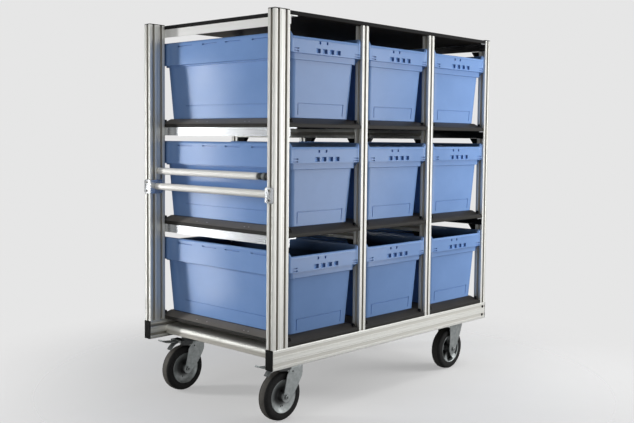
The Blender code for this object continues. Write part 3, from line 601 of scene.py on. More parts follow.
# %% Bars of profile
LIES_ALONG = {
    "corner_post": "z", "divider_post": "z", "base_beam": "x", "cross_rail": "y", "shelf_bar": "y",
}
COVERED_SIDE = {"base_beam_front": 3, "base_beam_rear": 1}
for name in nodes:
    start = next((start for start in LIES_ALONG if name.startswith(start)), None)
    if not start:
        continue
    axis = LIES_ALONG[start]
    low, high = (np.array(corner)[AXES[axis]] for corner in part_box(name))
    modules = np.round((high - low)[:2] / MODULE).astype(int)
    if start == "cross_rail":
        outline, depth = rail_outline()
    else:
        outline, depth = profile_outline(*modules, COVERED_SIDE.get(name))
    if name == "cross_rail_right":
        outline = [0, (high - low)[1]] + outline * [1, -1]
    # depth here is the painted shade of each outline point, not a distance
    bar = pushed(outline + low[:2], low[2], high[2], axis, depth)
    make_piece(name + "_slotted", [bar], finish_of(name), replaces=name)
print("profile bars:", sum(name.startswith(tuple(LIES_ALONG)) for name in nodes))

# %% [markdown]
# ## The shelf decks
# Each shelf is a flat slab with a dark edge, which reaches round the divider posts, and one raised
# plinth in every bay. A crate stands on a plinth. The slab is an outline with square corners: an
# inset of such an outline moves every corner along both neighbouring sides. A plinth is a stack of
# rounded rectangles that draw in as they rise, with a rounded shoulder on which light catches.
# Rivets and small black tabs hold the deck at its corners.

# %% Deck sizes
BOX = {name: [np.array(corner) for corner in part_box(name)] for name in nodes}
DECK_EDGE, DECK_RISE, DECK_ROUND = 0.015, 0.022, 0.0012
PLINTH_FOOT, PLINTH_TOP, PLINTH_CORNER = 0.004, 0.035, 0.004
GAP = 0.0003
DIVIDERS = sorted(BOX["divider_post_front_" + number][0][0] for number in "12")
deck_low, deck_high = BOX["shelf_deck_lower"]
notches = [x + side for x in DIVIDERS for side in (-GAP, MODULE + GAP)]
BAYS = np.array([deck_low[0], *notches, deck_high[0]]).reshape(3, 2)
print("bays from", BAYS[:, 0].round(3), "to", BAYS[:, 1].round(3))


# %% Slab and plinths
def square_inset(outline, inset):
    """Moves each corner inwards across both its sides, for an outline of right angles only."""
    side = np.roll(outline, -1, 0) - outline
    side /= np.linalg.norm(side, axis=1)[:, None]
    inward = np.stack([-side[:, 1], side[:, 0]], -1)
    return outline + inset * (inward + np.roll(inward, 1, 0))


def stacked(outlines, heights):
    """One row for each height: the outline that belongs to it, lifted to that height."""
    return closed_grid(np.stack([lifted(*row) for row in zip(outlines, heights)]))


def slab(outline, low, high, edge):
    """The outline at each (inset, height) of a solid with rounded edges."""
    insets, heights = edge_rows(low, high, edge)
    return stacked([square_inset(outline, inset) for inset in insets], heights)


def plinth(bay, base):
    """Rounded rectangles: foot, straight slope, rounded shoulder and flat top."""
    shoulder = np.linspace(0, 1, 5)
    insets = [PLINTH_FOOT, PLINTH_FOOT + 0.001, *(PLINTH_TOP - 0.0045 + 0.0060 * shoulder)]
    heights = np.array([-0.0002, 0.0012, *(DECK_RISE - 0.0030 * (1 - shoulder) ** 2)])
    half = np.array([bay[1] - bay[0], deck_high[1] - deck_low[1]]) / 2
    middle = np.array([bay.mean(), 0.0])
    outlines = [rounded_rectangle(*(half - inset), PLINTH_CORNER) + middle for inset in insets]
    return stacked(outlines, base + DECK_EDGE + heights)


front, notch = deck_low[1], MODULE + 2 * GAP
front_run = [(deck_low[0], front)]
for x in DIVIDERS:
    left, right = x - GAP, x + MODULE + GAP
    front_run += [(left, front), (left, front + notch), (right, front + notch), (right, front)]
front_run = np.array([*front_run, (deck_high[0], front)])
deck_outline = np.concatenate([front_run, front_run[::-1] * [1, -1]])
print("corners of a deck's outline:", len(deck_outline))

# %% Decks, rivets and tabs
RIVET = mm([(0.1, 1.6), (1.6, 1.3), (2.6, 0.6), (3.0, -0.4)])
RIVETS_Y, RIVET_IN, RIVET_UP = (0.167, 0.100, -0.137, -0.163), 0.0165, 0.0088
TAB_IN = np.array([0.004, 0.030, 0.028, 0.022, 0.020])
TAB_UP = np.array([-0.001, -0.001, 0.004, 0.0195, 0.0195])
TAB_Y = (0.3880, 0.4000)
deck_names = sorted(name for name in nodes if name.startswith("shelf_deck_"))
for name in deck_names:
    base = BOX[name][0][2]
    top = base + DECK_EDGE
    parts = [slab(deck_outline, base, top, DECK_ROUND)]
    make_piece(name + "_slab", parts, deck_edge, replaces=name)
    parts = [plinth(bay, base) for bay in BAYS]
    make_piece(name + "_plinths", parts, deck_coat, replaces=name)
    spots = [(deck_low[0] + RIVET_IN, y, top + RIVET_UP) for y in RIVETS_Y]
    rivets = [turned(RIVET, spot, "z", 12) for spot in spots]
    make_piece(name + "_rivets", rivets, steel)
    tabs = []
    for x, away in [end for bay in BAYS for end in zip(bay, (1, -1))]:
        tab = np.column_stack([top + TAB_UP, x + away * TAB_IN])
        tabs += [pushed(tab, *sorted(side * y for y in TAB_Y), "y") for side in (-1, 1)]
    make_piece(name + "_tabs", tabs, black_plastic, replaces=name)
print("decks:", len(deck_names), " each", round(DECK_EDGE + DECK_RISE, 3), "m high")

# %% [markdown]
# ## The crates
# Nine moulded crates carry the load. One could cut slots into a plain tub with Booleans. Here the
# tub is a single grid: the columns go once round its rounded rectangle, and the rows go up the
# outside, over the rim and down the inside. Every recess is then a rule that pushes some grid
# points inwards, with two grid lines drawn close together at each of its edges, so that the
# pocket has steep walls. A pocket is written as (low u, high u, low z, high z, depth).

# %% Crate sizes
CRATE_X, CRATE_Y = 0.207, 0.406
RIM_R, STEP_R, BODY_R = 0.006, 0.014, 0.020
STEP_Z, END_RIM_Z, SIDE_RIM_Z = 0.226, 0.251, 0.232
END_TOP, SIDE_TOP = 0.315, 0.331
END_LIP_Z, SIDE_LIP_Z = 0.3046, 0.3205
EAR_FROM, RIM_FROM = 0.189, 0.378
EDGE_LINE = 0.0004
SLOT_RIGHT = (-0.0365, 0.0028, 0.0425, 0.0812)
LABEL_SLOTS = [(right - 0.0265, right, 0.2568, 0.2742, 0.0085) for right in SLOT_RIGHT]
NOTCHES = [(-0.0435, -0.0345, 0.2925, 0.3025, 0.0060), (-0.0010, 0.0075, 0.2925, 0.3025, 0.0070)]
GRIPS = [(u, u + 0.027, z, z + 0.0042, 0.0050) for u in (0.1690, -0.1850) for z in (0.2548, 0.2652)]
SLITS_U = ((0.188, 0.286), (0.027, 0.120), (-0.120, -0.027), (-0.286, -0.188))
SIDE_SLITS = [(*ends, 0.3096, 0.3140, 0.0065) for ends in SLITS_U]
RIBS_U = (0.0055, -0.0170, -0.0395, -0.0690)
SIDE_RIBS = [(u - 0.0010, u + 0.0010, 0.2460, 0.3050, 0.0012) for u in RIBS_U]
PANEL_X, PANEL_TOP, PANEL_FOOT, PANEL_Y, PANEL_INSET = 0.131, 0.0575, 0.0120, 0.300, 0.032
GROOVE_HALF, GROOVE_DEPTH = 0.0016, 0.0032
HOUSING_U, HOUSING_TOP, HOUSING_DEPTH = (-0.0680, 0.0870), 0.2785, 0.0085
BAND_DEPTH, BAND_FADE = 0.0012, 0.006
print("label slots:", len(LABEL_SLOTS), " side slits:", len(SIDE_SLITS))


# %% Crate grid lines
def doubled(values):
    """Each value twice, one line just before it and one just after."""
    values = np.array(sorted(set(values)))
    return np.sort(np.concatenate([values - EDGE_LINE, values + EDGE_LINE]))


def lines_between(span, features, spacing):
    """Doubled lines at the features, and even ones wherever a gap is wider than the spacing."""
    marks = np.unique(np.concatenate([[-span, span], doubled(features)]).round(6))
    marks = marks[(marks >= -span) & (marks <= span)]
    counts = np.maximum(1, np.ceil(np.diff(marks) / spacing)).astype(int)
    runs = [np.linspace(a, b, n, endpoint=False) for a, b, n in zip(marks, marks[1:], counts)]
    return np.append(np.concatenate(runs), span)


END_SPAN, SIDE_SPAN = CRATE_X - RIM_R, CRATE_Y - RIM_R
PANEL_SCALE = END_SPAN / (CRATE_X - PANEL_INSET - BODY_R)
end_marks = [edge for pocket in LABEL_SLOTS + NOTCHES + GRIPS for edge in pocket[:2]]
groove_edges = [PANEL_X - GROOVE_HALF, PANEL_X + GROOVE_HALF]
end_marks += [side * edge * PANEL_SCALE for side in (-1, 1) for edge in groove_edges]
end_marks += [*HOUSING_U, -EAR_FROM, EAR_FROM]
side_marks = [edge for pocket in SIDE_SLITS + SIDE_RIBS for edge in pocket[:2]]
side_marks += [-RIM_FROM, RIM_FROM, -PANEL_Y, PANEL_Y]
end_lines = lines_between(END_SPAN, end_marks, 0.030)
side_lines = lines_between(SIDE_SPAN, side_marks, 0.060)
print("grid lines: end", len(end_lines), " side", len(side_lines))

# %% [markdown]
# The loop goes once round the crate at one height. It is a long side, a corner, an end and so on,
# and knows for each point its place along the wall (u), which wall it is on, and the way outwards.
# A row has three heights: one on the long sides, one at the corners and one on the ends, because
# the ends of the rim are lower and rise to the corners in short ears.

# %% The loop round a crate
corner_turn = np.linspace(0, np.pi / 2, 7)[1:-1]
WALLS = [(k, side_lines if k % 2 else end_lines, (k - 1) * math.pi / 2) for k in range(4)]


def crate_loop(inset, radius, side, corner, end):
    """Four straight walls of scaled lines joined by quarter circles, at three heights."""
    half_x, half_y = CRATE_X - inset - radius, CRATE_Y - inset - radius
    loop = []
    for k, lines, out in WALLS:
        if k % 2:
            span, reach, away, start, flat = SIDE_SPAN, half_y, half_x, RIM_FROM, side
        else:
            span, reach, away, start, flat = END_SPAN, half_x, half_y, EAR_FROM, end
        rise = np.clip((np.abs(lines) - start) / (span - start), 0, 1)
        along = np.array([-math.sin(out), math.cos(out)])
        normal = np.array([math.cos(out), math.sin(out)])
        wall = along * (lines * reach / span)[:, None] + normal * (away + radius)
        loop.append(np.column_stack([wall, flat + (corner - flat) * rise]))
        turn = out + corner_turn
        arc = radius * np.column_stack([np.cos(turn), np.sin(turn)])
        loop.append(lifted(normal * away + along * reach + arc, corner))
    return np.concatenate(loop)


NOWHERE = 9.0
bend = len(corner_turn)
wall_of = np.concatenate([[k] * len(lines) + [-1] * bend for k, lines, out in WALLS])
u_of = np.concatenate([[*lines, *[NOWHERE] * bend] for k, lines, out in WALLS])
out_of = np.concatenate([[out] * (len(lines) + bend) for k, lines, out in WALLS])
normal_of = np.column_stack([np.cos(out_of), np.sin(out_of), 0 * out_of])
on_end, on_side = np.isin(wall_of, (0, 2)), np.isin(wall_of, (1, 3))
u_side = np.where(wall_of == 3, -u_of, u_of)
print("points round a crate:", len(u_of))


# %% [markdown]
# Now the rows. The rim's face needs its own heights on the ends, for the slots and recesses, and
# on the long sides, for the dashed slit and the ribs. Both lists have the same number of rows.
# The lip leans inwards at its top, so that it catches the light from above.

# %% Heights on the rim's face
def spread(values, count):
    """The same marks with rows added in the middle of the widest gaps, up to count rows."""
    values = list(values)
    while len(values) < count:
        k = int(np.argmax(np.diff(values)))
        values.insert(k + 1, (values[k] + values[k + 1]) / 2)
    return np.array(values)


def face_marks(bottom, pockets):
    """Heights on the rim's face: one near its foot, and doubled ones at the pockets' edges."""
    return [bottom + 0.0008, *doubled([z for pocket in pockets for z in pocket[2:4]])]


BELOW_LIP, STRETCH_FROM = 0.0005, 0.280
end_face = face_marks(END_RIM_Z, LABEL_SLOTS[:1] + NOTCHES[:1] + GRIPS[:2])
end_face = sorted({round(z, 5) for z in end_face if z < END_LIP_Z - BELOW_LIP})
end_face += [END_LIP_Z - BELOW_LIP, END_LIP_Z]
side_face = [*face_marks(SIDE_RIM_Z, SIDE_SLITS[:1] + SIDE_RIBS[:1]), SIDE_LIP_Z]
face_rows = max(len(end_face), len(side_face)) + 2
end_face, side_face = spread(end_face, face_rows), spread(side_face, face_rows)
stretch = (SIDE_LIP_Z - STRETCH_FROM) / (END_LIP_Z - STRETCH_FROM)
stretched = STRETCH_FROM + (end_face - STRETCH_FROM) * stretch
corner_face = np.where(end_face < STRETCH_FROM, end_face, stretched)
print("rows on the rim's face:", face_rows)


# %% Crate rows
def even_row(inset, radius, z):
    """A row whose three heights are the same."""
    return inset, radius, z, z, z


FOOT_INSET, LEAN, STEP_INSET = 0.034, 0.014, 0.0130
UNDERSIDE = [(0.0385, BODY_R - 0.004, 0), (0.0352, BODY_R - 0.001, 0.0002)]
STEP = [(0.0198, BODY_R, STEP_Z), (0.0138, STEP_R + 0.0006, STEP_Z)]
STEP += [(STEP_INSET, STEP_R, STEP_Z + 0.0008)]
RIM_FOOT = [(STEP_INSET, STEP_R, 0.0003), (0.0125, STEP_R - 0.0005, 0), (0.0012, RIM_R, 0)]
LIP = [(0.0007, 0.35), (0.0018, 0.62), (0.0032, 0.84), (0.0048, 0.96), (0.0062, 1.0)]
LIP += [(0.0078, 1.0), (0.0088, 0.94), (0.0090, 0.85)]
INNER_STEP = [(0.0170, 0.0100, 0.2550), (0.0172, 0.0100, 0.2310), (0.0240, 0.0160, 0.2300)]
INNER_INSET, INNER_R, INNER_TOP = 0.0380, 0.0160, 0.23
INNER_FLOOR = [(0.0395, 0.0150, 0.0045), (0.0430, 0.0120, 0.0040)]
wall_z = [*doubled([PANEL_FOOT]), *doubled([PANEL_TOP - GROOVE_HALF, PANEL_TOP + GROOVE_HALF])]
wall_z = np.array([0.0012, 0.0040, *wall_z, 0.090, 0.130, 0.170, 0.205, 0.2235, 0.2256])
inner_z = np.array([0.2960, *doubled([HOUSING_TOP])[::-1], 0.2600, 0.2556])

rows = [even_row(*row) for row in UNDERSIDE]
first_wall = len(rows)
rows += [even_row(FOOT_INSET - LEAN * z / STEP_Z, BODY_R, z) for z in wall_z]
rows += [even_row(*row) for row in STEP]
for inset, radius, drop in RIM_FOOT:
    rows.append((inset, radius, SIDE_RIM_Z - drop, END_RIM_Z - drop, END_RIM_Z - drop))
first_face = len(rows)
rows += [(0.0, RIM_R, *heights) for heights in zip(side_face, corner_face, end_face)]
for inset, up in LIP:
    side, end = (z + (top - z) * up for z, top in ((SIDE_LIP_Z, SIDE_TOP), (END_LIP_Z, END_TOP)))
    rows.append((inset, max(RIM_R - inset, 0.0012), side, side, end))
first_inner = len(rows)
rows += [even_row(0.0090, 0.0030, z) for z in inner_z]
rows += [even_row(*row) for row in INNER_STEP]
for z in (0.160, 0.090, 0.030, 0.0070):
    rows.append(even_row(INNER_INSET - LEAN * z / INNER_TOP, INNER_R, z))
rows += [even_row(*row) for row in INNER_FLOOR]
print("rows of a crate:", len(rows))


# %% Push the recesses in
def pocket_depth(rows_z, u, pockets, lean=0.0):
    """The pocket's depth where u and z lie inside it, less towards its low u by the lean."""
    low_u, high_u, low_z, high_z, deep = np.array(pockets).T[:, :, None, None]
    z = rows_z[None, :, None]
    inside = (z > low_z) & (z < high_z) & (u > low_u) & (u < high_u)
    return np.where(inside, deep * (1 - lean * (high_u - u) / (high_u - low_u)), 0).max(0)


crate_points = np.stack([crate_loop(*row) for row in rows])
depth = np.zeros(crate_points.shape[:2])
face = depth[first_face : first_face + face_rows]
face += on_end * pocket_depth(end_face, u_of, NOTCHES + GRIPS)
face += on_end * pocket_depth(end_face, u_of, LABEL_SLOTS, 0.75)
face += on_side * pocket_depth(side_face, u_side, SIDE_SLITS + SIDE_RIBS)
below_lip = (end_face < END_LIP_Z - 0.0002)[:, None] & on_end
fade = np.clip((EAR_FROM + BAND_FADE - np.abs(u_of)) / BAND_FADE, 0, 1)
face += below_lip * BAND_DEPTH * fade
panel_u = np.abs(u_of) / PANEL_SCALE
in_band = (np.abs(wall_z - PANEL_TOP) < GROOVE_HALF)[:, None]
in_run = ((wall_z > PANEL_FOOT) & (wall_z < PANEL_TOP))[:, None]
groove = in_band & on_end & (panel_u < PANEL_X + GROOVE_HALF)
groove |= in_run & on_end & (np.abs(panel_u - PANEL_X) < GROOVE_HALF)
groove |= in_band & on_side & (np.abs(u_of) < PANEL_Y)
depth[first_wall : first_wall + len(wall_z)] += groove * GROOVE_DEPTH
housed = on_end & (u_of > HOUSING_U[0]) & (u_of < HOUSING_U[1])
housed = (inner_z < HOUSING_TOP)[:, None] & housed
depth[first_inner : first_inner + len(inner_z)] += housed * HOUSING_DEPTH
crate_points -= depth[..., None] * normal_of
# painted shade for the rows inside the crate
inside = np.clip((np.arange(len(rows)) - first_inner + 1) / 2, 0, 0.9)[:, None]
crate_part = closed_grid(crate_points, shade=inside)
print("deepest recess:", round(1000 * depth.max(), 1), "mm; grid:", depth.shape)

# %% Place the nine crates
crates = sorted(name for name in nodes if name.startswith("crate_"))
for name in crates:
    low, high = BOX[name]
    parts = [moved(crate_part, (*(low + high)[:2] / 2, low[2]))]
    make_piece(name + "_moulded", parts, crate_plastic, name, 40, name)
print("crates placed:", len(crates))

# %% [markdown]
# ## Wheels
# A wheel is a solid rubber tyre on a pressed rim. Both are turned round the axle from a profile of
# (radius, along the axle) points. The tyre is crowned, so only the middle of its tread gathers
# dust. Every disc gets painted shade towards its hub. The braked wheels have a plain dished disc;
# the fixed ones have spokes, and between them the web is thinned and painted dark where openings
# would be, marked like the crates' pockets, on a polar grid.

# %% Tyres
turn = np.linspace(0, np.pi / 2, 9)
side_wall = mm([(68, 20), (68.8, 23.4), (71, 24.6), (77, 25), (83, 24.9)])
shoulder = mm(np.column_stack([85.5 + 13.2 * np.sin(turn), 11.2 + 13.6 * np.cos(turn)]))
crown = mm([(99.45, 8), (99.9, 3.5)])


def both_sides(half):
    """A profile of (radius, along) points, and the same again on the other side of the wheel."""
    return np.concatenate([half, half[::-1] * [1, -1]])


TYRE = both_sides(np.concatenate([side_wall, shoulder, crown]))
tread_dust = np.clip((0.0150 - np.abs(TYRE[:, 1])) / 0.0040, 0, 1) * (TYRE[:, 0] > 0.09)
CORNERS = [name[len("wheel_tyre_") :] for name in nodes if name.startswith("wheel_tyre_")]
AXLE_AT = {corner: sum(BOX["wheel_tyre_" + corner]) / 2 for corner in CORNERS}
for corner, axle in AXLE_AT.items():
    name = "wheel_tyre_" + corner
    dust = tread_dust * (1.0 if "left" in corner else 0.35)
    tyre = turned(TYRE, axle, "y", 96, True, dust)
    make_piece(name + "_solid", [tyre], rubber, "wheel_" + corner, 40, name)
print("tyres:", len(AXLE_AT), " axle height:", round(float(AXLE_AT["front_left"][2]), 3))

# %% Rims
HUB = [(6.5, 33), (15, 33), (18.5, 31.5), (20, 27), (20.6, 15), (22.5, 11.8), (26, 10.8)]
WEB = [(34, 11.2), (43, 13), (52, 16.2), (59, 19.6), (63, 22.2)]
DISH = mm([*HUB, *WEB, (65, 24), (66.4, 24.5), (67.7, 23.6)])
# painted shade of the disc at each radius
DISH_PAINTED_SHADE_R = mm([12, 16, 20, 34, 44, 56, 62, 65, 68])
DISH_PAINTED_SHADE = [0.2, 0.6, 0.95, 0.85, 0.50, 0.15, 0.0, 0.0, 0.6]
SPOKES, SPOKE_TURN, SPOKE_WIDTH, SPOKE_EDGE = 5, 0.4, 0.30, 0.12
WEB_FROM, WEB_TO, WEB_THINNED = 0.0250, 0.0600, 0.9


def rim_part(centre, spoked):
    """Turned profile of both faces, painted shade; between spokes a thin web painted dark."""
    profile = both_sides(DISH)
    turn = np.linspace(0, 2 * np.pi, 120, endpoint=False)
    radius, along = profile.T[:, :, None] + 0 * turn
    painted_opening = np.zeros_like(radius)
    if spoked:
        between = np.clip((SPOKE_WIDTH - np.cos(SPOKES * turn + SPOKE_TURN)) / SPOKE_EDGE, 0, 1)
        painted_opening = between * ((radius > WEB_FROM) & (radius < WEB_TO))
    along = along * (1 - WEB_THINNED * painted_opening)
    local = np.stack([radius * np.sin(turn), along, radius * np.cos(turn)], -1)
    return closed_grid(local + centre, True, np.maximum(painted_opening, np.interp(radius, DISH_PAINTED_SHADE_R, DISH_PAINTED_SHADE)))


SLOTS_AT = {"front_left": [(-0.005, -0.043), (0.004, -0.042)], "rear_left": [(-0.009, -0.040)]}


def rim_slot(axle, x, z):
    """A small upright slot as painted shade: a thin dark box on the dish, x and z off the axle."""
    face = np.interp(math.hypot(x, z), *DISH.T) + 0.0002
    spot = axle + [x, -face, z]
    low, high = spot - [0.0018, 0.0003, 0.0050], spot + [0.0018, 0.0020, 0.0050]
    return rounded_box(low, high, "y", 0.0017, 0.0001)


for corner, axle in AXLE_AT.items():
    name, body = "wheel_rim_" + corner, "wheel_" + corner
    rim = rim_part(axle, "right" in corner)
    make_piece(name + "_pressed", [rim], zinc, body, 30, name)
    for number, place in enumerate(SLOTS_AT.get(corner, []), 1):
        slot = rim_slot(axle, *place)
        make_piece(f"wheel_slot_{corner}_{number}", [slot], black_plastic, body)
print("rims:", len(AXLE_AT))

# %% [markdown]
# ## Bolts and screws
# A bolt end is a washer, a six-sided nut and the rounded end of the thread, all turned: with six
# steps a turned piece has six sides. Each of their rows ends with its painted shade. A socket
# screw is a turned button whose hollow is painted shade.

# %% Bolt helpers
BOLT_R = 0.0098
# the third number in each row is painted shade
WASHER = [(1.25, 0, 0.9), (1.3, 0.0005, 0.5), (1.25, 0.0013, 0.0)]
NUT = [(1, 0.0013, 0.8), (1, 0.0062, 0.8), (0.93, 0.0072, 0.0), (0.90, 0.0073, 0.0)]
THREAD = [(0.55, 0.0070, 0.0), (0.55, 0.0088, 0.35), (0.42, 0.0095, 0.75)]


def bolt_end(centre, out):
    """Washer, nut and thread along y, out = -1 towards the front and 1 towards the rear."""
    parts = []
    for profile, steps in ((WASHER, 24), (NUT, 6), (THREAD, 16)):
        radius, along, shade = np.array(profile).T
        points = np.column_stack([BOLT_R * radius, out * along])
        parts.append(turned(points, centre, "y", steps, shade=shade))
    return parts


def socket_screw(centre, axis, out, radius, high):
    """A domed button: up the dome, then down into a painted-shade hollow drawn as a small circle.
    """
    profile = [(1, 0), (1, 0.45), (0.86, 0.82), (0.64, 1), (0.52, 0.98), (0.48, 0.4)]
    points = np.array(profile) * [radius, high * out]
    return turned(points, centre, axis, 20, shade=[0, 0, 0, 0.2, 1, 1])


SHAFT_R, SHAFT_HALF, WASHER_AT = 0.0058, 0.0375, 0.0374
for corner, axle in AXLE_AT.items():
    name = "wheel_axle_" + corner
    shaft = turned([(SHAFT_R, -SHAFT_HALF), (SHAFT_R, SHAFT_HALF)], axle, "y", 20)
    ends = [part for out in (-1, 1) for part in bolt_end(axle + [0, WASHER_AT * out, 0], out)]
    body = "swivel_" + corner if "left" in corner else "frame"
    make_piece(name + "_bolt", [shaft, *ends], zinc, body, 25, name)
print("axle bolts:", len(AXLE_AT))

# %% [markdown]
# ## Forks and brackets
# A fork is one pressed sheet: a leg, a bend, the crown, a second bend and a second leg. The path
# of that bend, seen from the front, gives the rows of a grid. At each row the sheet reaches from
# a back edge to a front edge, and both edges are read from a short table of (reach, height), so
# the legs get their slanted outline and their round foot.

# %% The pressed sheet
SHEET, LEG_OUTER, BEND_R = 0.004, 0.0373, 0.009
CROWN_HALF = LEG_OUTER - BEND_R
CROWN_BACK, CROWN_FRONT = -0.046, 0.047
FOOT_HIGH, EDGE = 0.022, 0.0006
WHEEL_Z = 0.100


def fork_path(bottom, top):
    """(y, z, normal) down the right leg: crown, quarter bend, leg; the left is its mirror."""
    crown = [(y, top, 0.0, 1.0) for y in (0.0, 0.012, 0.022)]
    turn = [(math.sin(a), math.cos(a)) for a in np.linspace(0, np.pi / 2, 7)]
    bend = [(CROWN_HALF + BEND_R * s, top - BEND_R + BEND_R * c, s, c) for s, c in turn]
    foot = bottom + FOOT_HIGH * (1 - np.cos(np.linspace(np.pi / 2, 0, 9)))
    straight = np.linspace(top - BEND_R, bottom + FOOT_HIGH, 10)[1:-1]
    leg = [(LEG_OUTER, z, 1.0, 0.0) for z in [*straight, *foot]]
    half = np.array(crown + bend + leg)
    return np.concatenate([half[::-1] * [-1, 1, -1, 1], half[1:]])


def pressed_fork(centre, top, foot, foot_r, back, front, painted_shade=0.0):
    """Rows along the fork's path; each row goes round the sheet from its outer back edge."""
    y, z, ny, nz = fork_path(WHEEL_Z - foot_r, top).T
    round_foot = np.sqrt(np.clip(foot_r**2 - (z - WHEEL_Z) ** 2, 0, None))
    narrowing = np.clip((CROWN_HALF - np.abs(y)) / CROWN_HALF, 0, 1)
    edges = []
    for table, side, crown in ((back, -1, CROWN_BACK), (front, 1, CROWN_FRONT)):
        reach, heights = table.T
        leg = np.where(z < heights[0], foot + side * round_foot, np.interp(z, heights, reach))
        edges.append(leg * (1 - narrowing) + crown * narrowing)
    back, front = edges
    outer = [back * 0.67 + front * 0.33, back * 0.33 + front * 0.67]
    loop = [(EDGE, back), (0.0, back + EDGE), *[(0.0, x) for x in outer]]
    loop += [(0.0, front - EDGE), (EDGE, front), (SHEET - EDGE, front), (SHEET, front - EDGE)]
    loop += [(SHEET, back + EDGE), (SHEET - EDGE, back)]
    loop = [np.stack([x, y - deep * ny, z - deep * nz], -1) for deep, x in loop]
    # painted shade: the crown nearly black, the legs as given
    dark = np.where(np.abs(y) < CROWN_HALF + 0.002, 0.92, painted_shade)[:, None]
    return closed_grid(np.stack(loop, 1) + [*centre, 0], shade=dark)


CROWN_TOP, SWIVEL_FOOT, SWIVEL_FOOT_R = 0.2215, -0.0450, 0.0220
FIXED_BACK_BY, FIXED_FOOT, FIXED_FOOT_R = 0.018, -0.0180, 0.0260
SWIVEL_BACK = mm([(-64, 100), (-58.5, 114), (-52, 138), (-41, 188), (-25, 208), (-25, 230)])
SWIVEL_FRONT = mm([(-29, 88), (4, 114), (20, 136), (36, 160), (45.5, 180), (45, 215)])
FIXED_BACK = mm([(-44, 105), (-39.5, 155), (-41, 211.7), (-46, 240)])
FIXED_FRONT = mm([(5, 88), (15, 115), (32, 145), (46, 174), (60, 210), (62, 240)])
print("fork tables:", len(SWIVEL_BACK), len(SWIVEL_FRONT), len(FIXED_BACK), len(FIXED_FRONT))

# %% Plate and ball race
PLATE_LOW, PLATE_HIGH = 0.2477, float(BOX["caster_plate_front_left"][1][2])
BOLT_HEAD = mm([(8.5, 0.3), (8.5, -4.2), (7.5, -5.2), (6, -5.4)])
BOLT_IN = mm([14, 13])
UPPER_RING = [(40, 247.8), (45.2, 247), (46, 242), (44, 237.5), (40.5, 236.5)]
LOWER_RING = [(39.5, 235), (42.5, 234), (43.2, 229), (41.5, 223.5), (36, 221.7)]
RACE = mm(UPPER_RING + LOWER_RING)
RACE_PAINTED_SHADE = [0.9, 0.8, 0.7, 0.9, 1, 1, 0.9, 0.7, 0.7, 0.9]
KING_NUT = mm([(12, 217.8), (12, 212), (10.8, 210.2), (8, 210)])


def top_plate(low, high):
    """A plate with round corners, and a flat-headed bolt near each corner."""
    box = (*low[:2], PLATE_LOW), (*high[:2], PLATE_HIGH)
    # painted shade: the plate almost black, its bolt heads half dark
    plate = rounded_box(*box, "z", 0.009, 0.0008, 0.96)
    near, far = low[:2] + BOLT_IN, high[:2] - BOLT_IN
    spots = [(x, y, PLATE_LOW) for x in (near[0], far[0]) for y in (near[1], far[1])]
    return [plate, *[turned(BOLT_HEAD, spot, "z", 6, shade=0.5) for spot in spots]]


def ball_race(x, y):
    """The race's rings with painted shade, darkest in the groove between, and the kingpin's nut."""
    rings = turned(RACE, (x, y, 0), "z", 48, shade=RACE_PAINTED_SHADE)
    return [rings, turned(KING_NUT, (x, y, 0), "z", 6)]


print("ball race:", len(RACE), "points")

# %% Swivel casters
BRAKED = ("front_left", "rear_left")
EAR_ZX = [(214, -88), (228, -86), (229, -50), (220, -20), (208, -20), (205, -45), (209, -80)]
HOLE = mm([(3.6, 1), (3.6, -0.2), (2, -0.3)])
for corner in BRAKED:
    name = "caster_plate_" + corner
    low, high = BOX[name]
    x, y = (low + high)[:2] / 2
    parts = top_plate(low, high) + ball_race(x, y)
    make_piece(name + "_race", parts, zinc, "frame", 30, name)
    name, body = "caster_fork_" + corner, "swivel_" + corner
    foot = CROWN_TOP, SWIVEL_FOOT, SWIVEL_FOOT_R
    parts = [pressed_fork((x, y), *foot, SWIVEL_BACK, SWIVEL_FRONT)]
    for side in (-1, 1):
        faces_y = sorted((y + side * LEG_OUTER, y + side * (LEG_OUTER - SHEET)))
        # the ears get painted shade
        parts.append(pushed(mm(EAR_ZX) + [0, x], *faces_y, "y", 0.85))
    make_piece(name + "_pressed", parts, zinc, body, 40, name)
    # the hole is painted shade: a small black turned disc on the outer leg
    hole = turned(HOLE, (x - 0.011, y - LEG_OUTER, 0.198), "y", 16)
    make_piece("fork_hole_" + corner, [hole], black_plastic, body)
print("swivel casters:", len(BRAKED))

# %% Fixed casters
for corner in ("front_right", "rear_right"):
    name = "caster_bracket_" + corner
    x, y = AXLE_AT[corner][:2] + [FIXED_BACK_BY, 0]
    foot = PLATE_LOW + 0.0005, FIXED_FOOT, FIXED_FOOT_R
    # the fixed brackets' legs get a light painted shade
    fork = pressed_fork((x, y), *foot, FIXED_BACK, FIXED_FRONT, 0.30)
    parts = [*top_plate(*BOX[name]), fork]
    make_piece(name + "_pressed", parts, zinc, "frame", 40, name)
print("fixed casters:", len(AXLE_AT) - len(BRAKED))

# %% [markdown]
# ## Brake pedals
# A pedal is a strip of sheet with an upturned tip. Its side view is a short path; every row of the
# grid is a rounded strip across that path, a little narrower towards the tip. Behind it a curved
# shoe hangs down, and its end stops just short of the tyre when the pedal is pressed.

# %% Pedals
def strip(path, widths, thick, shade=0.0):
    """Rows along the (x, z) path; each is a flat rounded bar of its width across y."""
    run = np.gradient(path, axis=0)
    run /= np.linalg.norm(run, axis=1)[:, None]
    up = np.stack([-run[:, 1], run[:, 0]], -1)
    section = rounded_rectangle(0.5, thick / 2, thick * 0.3, 2)
    across = np.clip(section[:, 0] * 2, -1, 1)
    rows = [
        np.column_stack([p[0] + section[:, 1] * n[0], across * w / 2, p[1] + section[:, 1] * n[1]])
        for p, n, w in zip(path, up, widths)
    ]
    return closed_grid(np.stack(rows), shade=shade)


